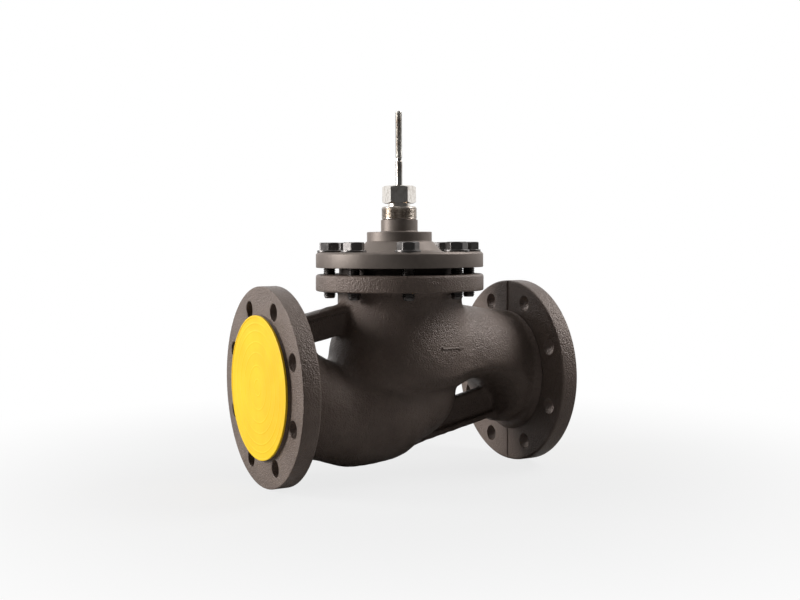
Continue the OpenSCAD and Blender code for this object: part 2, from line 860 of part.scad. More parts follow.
module gland_bush() {
    color([0.75, 0.58, 0.3])
        on_bore_axis() {
            ring(packing_d / 2 - packing_ring_gap, stem_hole_r, gland_bush_z, gland_bush_h);
            ring(gland_shank_d / 2 - packing_ring_gap, stem_hole_r,
                gland_bush_z + gland_bush_h, gland_bush_flange_t);
        }
}

module gland_nut() {
    color([0.8, 0.79, 0.76])
        on_bore_axis()
            difference() {
                union() {
                    translate([0, 0, nut_z])
                        rotate([0, 0, 1])
                            hexagon(gland_nut_flats, gland_nut_h, 1, 1);
                    translate([0, 0, shank_end_z])
                        cylinder(d = gland_shank_d, h = nut_z - shank_end_z + over);
                }
                translate([0, 0, shank_end_z - over])
                    cylinder(r = stem_hole_r, h = nut_top - shank_end_z + 2 * over);
                translate([0, 0, nut_top - wiper_recess])
                    cylinder(d = wiper_d, h = wiper_recess + over);
            }
}

module wiper_ring() {
    color([0.1, 0.1, 0.1])
        on_bore_axis()
            ring(wiper_d / 2, stem_guide_r, nut_top - wiper_recess, wiper_h);
}

// A protector: a disc with rings on its face and a collar that plugs the bore
module flange_cap(side) {
    ring_r = cap_d / 2;
    collar_r = bore_d / 2 - slip_gap;
    mirror([side > 0 ? 0 : 1, 0, 0])
        along_x(face_x + slip_gap) {
            rotate_extrude()
                polygon([[0, 0], [ring_r, 0], [ring_r, cap_t + cap_ring_h],
                    [ring_r - cap_t, cap_t + cap_ring_h], [ring_r - cap_t, cap_t], [0, cap_t]]);
            ring(collar_r, collar_r - cap_collar_t, -cap_collar_h, cap_collar_h + cap_t);
        }
}

module inlet_cap() {
    color([1, 0.82, 0.1])
        on_bore_axis()
            flange_cap(-1);
}

module outlet_cap() {
    color([1, 0.82, 0.1])
        on_bore_axis()
            flange_cap(1);
}

valve_body();
inlet_chamber();
inlet_bowl();
inlet_flange();
outlet_flange();
top_flange();
inlet_strut();
outlet_strut();
seat_ring();
seat_seal();
plug();
plug_seal();
plug_pin();
stem();
bonnet();
bonnet_gasket();
bonnet_bolts();
bonnet_washers();
guide_bush();
sleeve_gasket();
packing_sleeve();
packing_spring();
spring_washer();
packing_rings();
gland_bush();
gland_nut();
wiper_ring();
inlet_cap();
outlet_cap();
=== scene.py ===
"""Looks of a flanged globe control valve with a bare stem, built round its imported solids.

Shapes are worked out in millimetres in the part's own frame (the stem along z, the flow along x)
and become metres when they are put into a mesh.
"""

import logging
import math
from collections.abc import Callable
from dataclasses import dataclass
from enum import Enum

import bpy
import numpy as np
from mathutils import Matrix


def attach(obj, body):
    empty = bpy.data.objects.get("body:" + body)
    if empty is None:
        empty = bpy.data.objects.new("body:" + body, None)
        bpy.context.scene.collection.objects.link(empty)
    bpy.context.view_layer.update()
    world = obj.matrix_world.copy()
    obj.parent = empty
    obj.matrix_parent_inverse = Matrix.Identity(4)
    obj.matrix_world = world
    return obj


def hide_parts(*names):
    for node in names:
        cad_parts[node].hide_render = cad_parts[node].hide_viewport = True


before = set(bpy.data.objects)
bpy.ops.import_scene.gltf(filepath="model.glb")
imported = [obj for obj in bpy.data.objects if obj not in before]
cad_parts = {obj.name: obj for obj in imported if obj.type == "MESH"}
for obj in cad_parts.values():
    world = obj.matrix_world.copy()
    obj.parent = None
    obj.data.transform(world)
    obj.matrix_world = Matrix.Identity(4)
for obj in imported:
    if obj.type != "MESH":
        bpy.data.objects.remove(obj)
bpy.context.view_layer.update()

Array = np.ndarray
Field = Callable[[Array, Array, Array], Array]
MM = 0.001
WELD = 0.002
WHITE = (1.0, 1.0, 1.0)
NEVER_ZERO, SLIDES, FLATTEST = 1e-6, 4, 0.2
THREAD_STEPS, THREAD_FLANK, THREAD_FLAT = 8, 1.25, 0.12
BORE_AXIS_H = 110.0
FULL_TURN = 2 * math.pi
SAND_WAVES = ((0.31, 0.17, 0.23, 0.0), (-0.19, 0.36, 0.11, 1.3), (0.13, -0.21, 0.41, 2.1),
              (0.47, 0.29, -0.33, 4.0), (-0.52, 0.44, 0.37, 5.2), (0.38, -0.57, 0.49, 0.7))
log = logging.getLogger("valve")


class Body(Enum):
    """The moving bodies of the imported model."""

    VALVE = "valve"
    STEM = "stem"
    INLET_CAP = "inlet_cap"
    OUTLET_CAP = "outlet_cap"


class Side(Enum):
    """The two ends of the pipe axis: the way that each one looks along x."""

    INLET = -1
    OUTLET = 1


@dataclass
class Surface:
    """Points and the four-sided faces between them.

    A face whose neighbouring corners coincide after welding becomes a triangle.
    """

    points: Array
    faces: Array

    @classmethod
    def grid(cls, points: Array) -> "Surface":
        """Joins rows of points, each a closed ring, into quads that face column step x row step.

        Args:
            points: array of rows x columns x 3.

        Returns:
            The surface.
        """
        rows, columns = points.shape[:2]
        index = np.arange(rows * columns).reshape(rows, columns)
        index = np.concatenate([index, index[:, :1]], axis=1)
        corners = (index[:-1, :-1], index[:-1, 1:], index[1:, 1:], index[1:, :-1])
        return cls(points.reshape(-1, 3), np.stack(corners, axis=-1).reshape(-1, 4))

    @classmethod
    def rings(cls, r: Array, angle: Array, z: Array) -> "Surface":
        """The skin through the points (r cos a, r sin a, z), whose rows are rings about z."""
        r, angle, z = np.broadcast_arrays(r, angle, z)
        return cls.grid(np.stack([r * np.cos(angle), r * np.sin(angle), z], axis=-1))

    @classmethod
    def lathe(cls, corners: list | Array, sides: int = 96, steps: int = 5) -> "Surface":
        """Turns a line about z: (r cos a, r sin a, z). A line that runs anticlockwise faces outwards.

        Args:
            corners: points (radius, height), with a third number where the corner is rounded.
            sides: number of steps round.
            steps: number of steps in a rounded corner.

        Returns:
            The surface.
        """
        r, z = rounded(corners, steps).T[:, :, None]
        return cls.rings(r, np.arange(sides)[None, :] * FULL_TURN / sides, z)

    @classmethod
    def joined(cls, *parts: "Surface") -> "Surface":
        """Several surfaces as one."""
        starts = np.cumsum([0] + [len(part.points) for part in parts])
        return cls(np.concatenate([part.points for part in parts]),
                   np.concatenate([part.faces + start for part, start in zip(parts, starts)]))

    def turned(self, angle: float) -> "Surface":
        """The surface turned about z by an angle in radians."""
        c, s = math.cos(angle), math.sin(angle)
        return Surface(self.points @ np.array([[c, s, 0], [-s, c, 0], [0, 0, 1.0]]), self.faces)

    def moved(self, x: float = 0, y: float = 0, z: float = 0) -> "Surface":
        """The surface moved by a distance along each axis."""
        return Surface(self.points + np.array([x, y, z]), self.faces)

    def flipped(self) -> "Surface":
        """The surface with its faces turned over."""
        return Surface(self.points, self.faces[:, ::-1])

    def upside_down(self) -> "Surface":
        """The surface turned half round about x, so that it faces down."""
        return Surface(self.points * np.array([1.0, -1.0, -1.0]), self.faces)

    def laid(self, side: Side) -> "Surface":
        """The surface turned so that its z axis runs along the pipe, out of the given side."""
        x, y, z = self.points.T
        return Surface(np.stack([z, y * side.value, -x * side.value], axis=1) * [side.value, 1, side.value],
                       self.faces)

    def around(self, count: int, radius: float) -> "Surface":
        """Copies of the surface on a circle about z, the first one half a pitch away from x."""
        pitch = FULL_TURN / count
        first = self.moved(x=radius).turned(pitch / 2)
        return Surface.joined(*(first.turned(i * pitch) for i in range(count)))

    def welded(self) -> "Surface":
        """The surface with points in the same cell of the weld merged and empty faces dropped."""
        keys = np.round(self.points / WELD).astype(np.int64)
        _, first, where = np.unique(keys, axis=0, return_index=True, return_inverse=True)
        faces = where.reshape(-1)[self.faces]
        crossed = (faces[:, 0] == faces[:, 2]) | (faces[:, 1] == faces[:, 3])
        return Surface(self.points[first], faces[~crossed])

    def as_object(self, name: str, material: bpy.types.Material, sharp: float = 32) -> bpy.types.Object:
        """Makes a shaded object at the origin.

        Args:
            name: the piece's name.
            material: its finish.
            sharp: angle in degrees past which an edge is drawn sharp.

        Returns:
            The object, linked to the scene.
        """
        mesh = bpy.data.meshes.new(name)
        repeats = self.faces == np.roll(self.faces, -1, axis=1)
        pairs = repeats.sum(axis=1)
        once = self.faces[pairs == 1]
        triangles = once[~repeats[pairs == 1]].reshape(-1, 3)
        faces = triangles.tolist() + self.faces[pairs == 0].tolist()
        mesh.from_pydata((self.points * MM).tolist(), [], faces)
        mesh.polygons.foreach_set("use_smooth", np.ones(len(mesh.polygons), bool))
        mesh.set_sharp_from_angle(angle=math.radians(sharp))
        mesh.materials.append(material)
        piece = bpy.data.objects.new(name, mesh)
        bpy.context.scene.collection.objects.link(piece)
        return piece


def rounded(corners: list | Array, steps: int = 5) -> Array:
    """Rounds an open line: a corner with a cut becomes a quadratic curve between points that far from it.

    Args:
        corners: points of two numbers, or of three with the cut as the last.
        steps: number of steps along each curve.

    Returns:
        The points of the rounded line.
    """
    points = np.array([corner[:2] for corner in corners], float)
    t = np.linspace(0, 1, steps + 1)[:, None]
    line = []
    for i, (point, corner) in enumerate(zip(points, corners)):
        if len(corner) < 3:
            line.append(point[None])
            continue
        before, after = points[i - 1] - point, points[i + 1] - point
        start = point + before / np.linalg.norm(before) * corner[2]
        end = point + after / np.linalg.norm(after) * corner[2]
        line.append((1 - t) ** 2 * start + 2 * t * (1 - t) * point + t**2 * end)
    return np.concatenate(line)


@dataclass
class DrilledPlate:
    """A flat ring with a circle of round holes, cut into one sector for each hole."""

    count: int
    circle_r: float
    inner_r: float
    outer_r: float
    arc_steps: int = 16
    radial_steps: int = 5

    @property
    def sides(self) -> int:
        """Number of steps round the whole ring."""
        return self.count * self.arc_steps

    def border(self, inner_r: float, outer_r: float) -> Array:
        """The outline of the sector that lies on the x axis, clockwise from its outer right corner."""
        half = math.pi / self.count
        angle = np.linspace(-half, half, self.arc_steps + 1)[:-1]
        along = np.linspace(0, 1, self.radial_steps + 1)[:-1]
        polar = [
            (np.full_like(angle, outer_r), angle),
            (outer_r + (inner_r - outer_r) * along, np.full_like(along, half)),
            (np.full_like(angle, inner_r), -angle),
            (inner_r + (outer_r - inner_r) * along, np.full_like(along, -half)),
        ]
        r, a = np.concatenate(polar, axis=1)
        return np.stack([r * np.cos(a), r * np.sin(a)], axis=1)[::-1]

    def ray(self) -> Array:
        """Unit vectors from the hole's middle to each point of the sector's outline."""
        spoke = self.border(self.inner_r, self.outer_r) - [self.circle_r, 0]
        return spoke / np.linalg.norm(spoke, axis=1, keepdims=True)

    def face(self, circles: list, inner_r: float | None = None, outer_r: float | None = None,
             spread: int = 4) -> Surface:
        """The upper face at z = 0: circles round each hole that open out into the sector's outline.

        Args:
            circles: (radius, height) of the rings round a hole, from the hole outwards.
            inner_r: inner radius of this face, where it isn't the plate's.
            outer_r: outer radius of this face, where it isn't the plate's.
            spread: number of steps from the last circle to the outline.

        Returns:
            The faces of all sectors.
        """
        outline = self.border(inner_r or self.inner_r, outer_r or self.outer_r)
        rings = [np.c_[[self.circle_r, 0] + r * self.ray(), np.full(len(outline), h)] for r, h in circles]
        flat = np.c_[outline, np.full(len(outline), circles[-1][1])]
        rings += [rings[-1] + (flat - rings[-1]) * s for s in np.linspace(0, 1, spread + 1)[1:]]
        return Surface.grid(np.stack(rings)).around(self.count, 0)

    def wall(self, radius: float, low: float, high: float) -> Surface:
        """The walls of the holes between two heights, facing into the holes."""
        ring = np.c_[[self.circle_r, 0] + radius * self.ray(), np.zeros(len(self.ray()))]
        rows = np.stack([ring + [0, 0, low], ring + [0, 0, high]])
        return Surface.grid(rows).around(self.count, 0)


def screw_skin(radius: float, depth: float, pitch: float, low: float, high: float,
               sides: int = 48) -> Surface:
    """A thread: the radius falls by a flattened V whose place climbs by one pitch in a turn.

    Args:
        radius: radius over the crests.
        depth: depth of the groove.
        pitch: climb in one turn.
        low: height where the thread starts.
        high: height where it ends.
        sides: number of steps round.

    Returns:
        The open tube, facing outwards.
    """
    z = np.linspace(low, high, int((high - low) / pitch * THREAD_STEPS) + 1)[:, None]
    angle = np.arange(sides)[None, :] * FULL_TURN / sides
    turn = (z / pitch - angle / FULL_TURN) % 1
    groove = np.clip(THREAD_FLANK * np.abs(2 * turn - 1) - THREAD_FLAT, 0, 1)
    fade = np.clip(np.minimum(z - low, high - z) / pitch, 0, 1)
    return Surface.rings(radius - depth * (1 - groove * fade), angle, z)


def hexagon_skin(flats: float, height: float, top_cut: float = 0, bottom_cut: float = 0,
                 crown_r: float = 0, sides: int = 96, edge: float = 0.35) -> Surface:
    """The sides of a hexagon that a cone trims: in each direction the radius is flats / 2 / cos(angle to the
    nearest flat), and the cone's height there falls with the radius past its start.

    Args:
        flats: width across flats.
        height: height of the prism.
        top_cut: slope of the cone at the top, zero for none.
        bottom_cut: slope of the cone at the bottom.
        crown_r: radius where the cones start.
        sides: number of steps round.
        edge: rounding of the corners.

    Returns:
        The open skin from the lower circle to the upper one, facing outwards.
    """
    angle = np.arange(sides) * FULL_TURN / sides
    off = (angle + math.pi / 6) % (math.pi / 3) - math.pi / 6
    r = np.minimum(flats / 2 / np.cos(off), flats / math.sqrt(3) - edge)
    past = np.maximum(r - crown_r, 0)
    rows = [(crown_r, 0), (r, past * bottom_cut), (r, height - past * top_cut), (crown_r, height)]
    radii, heights = (np.stack([np.broadcast_to(row[i], r.shape) for row in rows]) for i in (0, 1))
    return Surface.rings(radii, angle, heights)


class Wire:
    """A shader value that can be added and multiplied like a number."""

    def __init__(self, net: "Net", source: bpy.types.NodeSocket) -> None:
        """Keeps the node tree and the socket that the value comes from."""
        self.net, self.source = net, source

    def maths(self, operation: str, other: "Wire | float") -> "Wire":
        """The result of a Math node on this value and another."""
        return self.net.node("Math", {"operation": operation}, [self, other])

    def __add__(self, other: "Wire | float") -> "Wire":
        """This value plus another."""
        return self.maths("ADD", other)

    def __mul__(self, other: "Wire | float") -> "Wire":
        """This value times another."""
        return self.maths("MULTIPLY", other)

    def between(self, low: float, high: float, bottom: float = 0.0, top: float = 1.0) -> "Wire":
        """A smooth step from the bottom value at low to the top value at high."""
        return self.net.node("MapRange", {"interpolation_type": "SMOOTHSTEP"},
                             [self, low, high, bottom, top])


class Net:
    """The node tree of one material or world."""

    def __init__(self, name: str, kind: str = "materials") -> None:
        """Starts a material, or a world, with the nodes that it has at first."""
        self.owner = getattr(bpy.data, kind).new(name)
        self.owner.use_nodes = True
        self.tree = self.owner.node_tree
        self.place = self.node("TexCoord", out="Object")

    def node(self, kind: str, settings: dict | None = None, values: list | dict | None = None,
             out: str | int = 0) -> Wire:
        """Adds any node.

        Args:
            kind: the node's type, without the word ShaderNode.
            settings: its properties.
            values: numbers, colours or wires for its inputs, by order or by name.
            out: the output that is wanted.

        Returns:
            That output.
        """
        made = self.tree.nodes.new("ShaderNode" + kind)
        for key, value in (settings or {}).items():
            setattr(made, key, value)
        for key, value in values.items() if isinstance(values, dict) else enumerate(values or []):
            self._feed(made.inputs[key], value)
        return Wire(self, made.outputs[out])

    def _feed(self, socket: bpy.types.NodeSocket, value: "Wire | float | tuple") -> None:
        """Links a wire to an input, or sets the input's own value."""
        if isinstance(value, Wire):
            self.tree.links.new(value.source, socket)
        elif isinstance(value, tuple) and len(value) == 3 and socket.type == "RGBA":
            socket.default_value = (*value, 1)
        else:
            socket.default_value = value

    def show(self, surface: Wire) -> None:
        """Leads a shader to the tree's output."""
        end = next(node for node in self.tree.nodes if node.type.startswith("OUTPUT"))
        self.tree.links.new(surface.source, end.inputs[0])

    def noise(self, size: float, detail: float = 3, rough: float = 0.5, place: Wire | None = None) -> Wire:
        """Noise of 0 to 1 whose grains are about size millimetres wide."""
        return self.node("TexNoise", None, {
            "Vector": place or self.place, "Scale": 1 / (size * MM), "Detail": detail, "Roughness": rough})

    def stretched(self, x: float, y: float, z: float) -> Wire:
        """The object's coordinates scaled along each axis."""
        return self.node("Mapping", None, {"Vector": self.place, "Scale": (x, y, z)})

    def part(self, axis: str) -> Wire:
        """One of the object's coordinates, in metres."""
        return self.node("SeparateXYZ", None, [self.place], out=axis)

    def mix(self, share: Wire, first: tuple | Wire, second: tuple | Wire) -> Wire:
        """A colour between two others."""
        return self.node("Mix", {"data_type": "RGBA"}, {0: share, 6: first, 7: second}, out=2)

    def bump(self, height: Wire, distance: float) -> Wire:
        """A normal from a height of 0 to 1 that stands for a distance in millimetres."""
        return self.node("Bump", None, {"Height": height, "Distance": distance * MM, "Strength": 1.0})

    def finish(self, **inputs: "Wire | float | tuple") -> bpy.types.Material:
        """Feeds the inputs of the surface, named with underscores for spaces, and returns the material."""
        for key, value in inputs.items():
            self._feed(self.tree.nodes["Principled BSDF"].inputs[key.replace("_", " ")], value)
        return self.owner


@dataclass(frozen=True)
class CastCoat:
    """A dark paint on a sand casting: small bumps, soft waves, dust and rubbed places. Where its painted
    shadow is switched on, it is nearly black below a given height: a painted shadow for the shade in the gap
    under the cover."""

    base: tuple = (0.132, 0.099, 0.082)
    warm: tuple = (0.172, 0.132, 0.111)
    rubbed: tuple = (0.25, 0.215, 0.195)
    # painted shadow: the nearly black colour, and the height below which it is painted
    painted_gap_shadow: tuple = (0.02, 0.016, 0.014)
    painted_gap_shadow_z: tuple = (0.2372, 0.2380)
    tint: tuple = (1.0, 0.84, 0.76)
    painted_shadow_off: float = 1.0
    roughness: float = 0.40
    bump: float = 1.15
    grain: float = 1.5
    metallic: float = 0.0
    gloss: float = 0.55

    def build(self, name: str) -> bpy.types.Material:
        """The coat as a material."""
        net = Net(name)
        patches = net.noise(size=45, detail=4, rough=0.6)
        peel = net.noise(self.grain, detail=2, rough=0.45)
        pits = net.noise(self.grain * 2.4, detail=3, rough=0.6)
        grit = net.noise(size=0.6, detail=2, rough=0.5)
        colour = net.mix(patches.between(0.35, 0.7), self.base, self.warm)
        colour = net.mix(grit.between(0.62, 0.8) * 0.35, colour, self.rubbed)
        # painted shadow: below the given height the colour turns nearly black, for the shade in the gap under
        # the cover
        clear = net.part("Z").between(*self.painted_gap_shadow_z) * (1 - self.painted_shadow_off) + self.painted_shadow_off
        colour = net.mix(clear, self.painted_gap_shadow, colour)
        height = peel * 0.9 + pits * 0.6 + grit * 0.07
        rough = patches * 0.18 + grit * 0.12 + (self.roughness - 0.15)
        return net.finish(Base_Color=colour, Roughness=rough, Normal=net.bump(height, self.bump),
                          Metallic=self.metallic, Specular_IOR_Level=self.gloss, Specular_Tint=self.tint)


@dataclass(frozen=True)
class TurnedSteel:
    """Bare steel from a lathe: fine rings along one axis, a little staining."""

    light: tuple = (0.56, 0.50, 0.44)
    dark: tuple = (0.34, 0.29, 0.25)
    roughness: float = 0.24
    rings: float = 0.35
    bump: float = 0.012
    stain: float = 9.0

    def build(self, name: str) -> bpy.types.Material:
        """The steel as a material."""
        net = Net(name)
        lines = net.noise(self.rings, detail=3, rough=0.7, place=net.stretched(0.02, 0.02, 1))
        stains = net.noise(self.stain, detail=4, rough=0.6)
        colour = net.mix(stains.between(0.42, 0.72), self.light, self.dark)
        rough = lines * 0.16 + stains * 0.14 + (self.roughness - 0.15)
        return net.finish(Base_Color=colour, Metallic=1.0, Roughness=rough, Normal=net.bump(lines, self.bump))


@dataclass(frozen=True)
class BlackOxide:
    """Blackened steel screws: a thin dark skin that is rubbed bright in patches."""

    base: tuple = (0.15, 0.14, 0.135)
    worn: tuple = (0.33, 0.31, 0.29)
    roughness: float = 0.34

    def build(self, name: str) -> bpy.types.Material:
        """The blackened steel as a material."""
        net = Net(name)
        patches = net.noise(size=6, detail=4, rough=0.65)
        scratches = net.noise(size=1.1, detail=3, rough=0.7, place=net.stretched(1, 1, 0.2))
        rub = patches.between(0.52, 0.75) * 0.45
        colour = net.mix(rub, self.base, self.worn)
        rough = patches * 0.22 + scratches * 0.12 + (self.roughness - 0.16)
        return net.finish(Base_Color=colour, Metallic=1.0, Roughness=rough,
                          Normal=net.bump(scratches + patches * 0.5, 0.03))


@dataclass(frozen=True)
class MouldedPlastic:
    """Yellow plastic from a mould, a little uneven and scuffed."""

    base: tuple = (1.0, 0.66, 0.018)
    deep: tuple = (0.96, 0.58, 0.012)
    roughness: float = 0.42

    def build(self, name: str) -> bpy.types.Material:
        """The plastic as a material."""
        net = Net(name)
        flow = net.noise(size=38, detail=3, rough=0.5)
        grain = net.noise(size=0.9, detail=2, rough=0.5)
        scuffs = net.noise(size=4.5, detail=5, rough=0.7, place=net.stretched(1, 1, 0.35))
        colour = net.mix(flow.between(0.3, 0.75), self.base, self.deep)
        rough = scuffs * 0.2 + flow * 0.1 + (self.roughness - 0.15)
        return net.finish(Base_Color=colour, Roughness=rough, Specular_IOR_Level=0.3,
                          Normal=net.bump(grain * 0.3 + flow, 0.12))


@dataclass(frozen=True)
class SoftSeal:
    """Rubber, graphite or packing: a dull pressed surface with a fine grain."""

    base: tuple = (0.02, 0.02, 0.02)
    dusty: tuple = (0.06, 0.06, 0.058)
    roughness: float = 0.7

    def build(self, name: str) -> bpy.types.Material:
        """The seal as a material."""
        net = Net(name)
        grain = net.noise(size=0.8, detail=3, rough=0.6)
        dust = net.noise(size=7, detail=4, rough=0.6)
        colour = net.mix(dust.between(0.4, 0.75), self.base, self.dusty)
        return net.finish(Base_Color=colour, Roughness=grain * 0.15 + (self.roughness - 0.07),
                          Normal=net.bump(grain, 0.05))


def smooth_min(a: Array, b: Array, k: float) -> Array:
    """The lower of two fields, with a fillet of about k where they cross: their mix less k h (1 - h)."""
    h = np.clip(0.5 + 0.5 * (b - a) / k, 0, 1)
    return b + (a - b) * h - k * h * (1 - h)


def smooth_max(a: Array, b: Array, k: float) -> Array:
    """The higher of two fields, with an edge rounded by about k."""
    return -smooth_min(-a, -b, k)


def ball(x: Array, y: Array, z: Array, at_x: float, at_z: float, r: float) -> Array:
    """Distance from a ball in the plane y = 0."""
    return np.sqrt((x - at_x) ** 2 + y**2 + (z - at_z) ** 2) - r


def round_cone(x: Array, y: Array, z: Array, start: tuple, end: tuple) -> Array:
    """Distance from a cone with ball ends: the distance from its middle line less the radius there."""
    (x0, z0, r0), (x1, z1, r1) = start, end
    dx, dz = x1 - x0, z1 - z0
    t = np.clip(((x - x0) * dx + (z - z0) * dz) / (dx**2 + dz**2), 0, 1)
    return np.sqrt((x - x0 - t * dx) ** 2 + y**2 + (z - z0 - t * dz) ** 2) - (r0 + (r1 - r0) * t)


def slab(x: Array, y: Array, z: Array, corners: list, thickness: float, k: float) -> Array:
    """Distance from a plate in the plane y = 0 with rounded edges: the highest of those from its sides."""
    d = np.abs(y) - thickness / 2
    for (x0, z0), (x1, z1) in zip(corners, corners[1:] + corners[:1]):
        length = math.hypot(x1 - x0, z1 - z0)
        d = smooth_max(d, ((x - x0) * (z1 - z0) - (z - z0) * (x1 - x0)) / length, k)
    return d


def skin_of_field(field: Field, low: tuple, high: tuple, step: float) -> Surface:
    """Meshes the zero surface of a field: one point in each cell that it crosses, at the middle of the
    crossings on the cell's edges, a quad across each crossed edge, then slides along the gradient.

    Args:
        field: function of x, y and z that is negative inside.
        low: lowest corner of the grid.
        high: highest corner of the grid.
        step: size of a cell.

    Returns:
        The closed surface.
    """
    axes = [np.arange(a, b + step, step) for a, b in zip(low, high)]
    value = field(*np.meshgrid(*axes, indexing="ij", sparse=True))
    value = np.where(np.abs(value) < NEVER_ZERO, NEVER_ZERO, value)
    inside = value < 0
    cells = tuple(n - 1 for n in value.shape)
    total = np.zeros((*cells, 3))
    count = np.zeros(cells)
    crossed = []
    for axis, ahead in enumerate(np.eye(3, dtype=int)):
        lower, upper = (tuple(span if i == axis else slice(None) for i in range(3))
                        for span in (slice(0, -1), slice(1, None)))
        hit = np.argwhere(inside[lower] != inside[upper])
        a, b = value[tuple(hit.T)], value[tuple((hit + ahead).T)]
        place = hit + ahead * (a / (a - b))[:, None]
        u, v = np.roll(ahead, 1), np.roll(ahead, 2)
        around = np.stack([hit, hit - u, hit - u - v, hit - v], axis=1)
        within = ((around >= 0) & (around < cells)).all(axis=(1, 2))
        around, place, sign = around[within], place[within], inside[tuple(hit.T)][within]
        for corner in np.moveaxis(around, 1, 0):
            np.add.at(total, tuple(corner.T), place)
            np.add.at(count, tuple(corner.T), 1)
        crossed.append(np.where(sign[:, None, None], around, around[:, ::-1]))
    used = count > 0
    number = np.cumsum(used.reshape(-1)).reshape(cells) - 1
    points = np.array(low) + total[used] / count[used][:, None] * step
    for _ in range(SLIDES):
        points = slide(points, field)
    return Surface(points, np.concatenate([number[tuple(np.moveaxis(c, -1, 0))] for c in crossed]))


def slide(points: Array, field: Field, reach: float = 0.05) -> Array:
    """Moves points towards the zero surface by one Newton step, at most a millimetre, along the gradient that
    central differences give."""
    slope = np.stack([field(*(points + s).T) - field(*(points - s).T) for s in np.eye(3) * reach], axis=1)
    slope = slope / (2 * reach)
    move = field(*points.T) / np.maximum((slope**2).sum(axis=1), FLATTEST)
    return points - np.clip(move, -1, 1)[:, None] * slope


def waves(x: Array, y: Array, z: Array) -> Array:
    """Unevenness of a sand casting: a sum of sines along fixed directions, between -1 and 1."""
    return sum(np.sin(a * x + b * y + c * z + d) for a, b, c, d in SAND_WAVES) / len(SAND_WAVES)


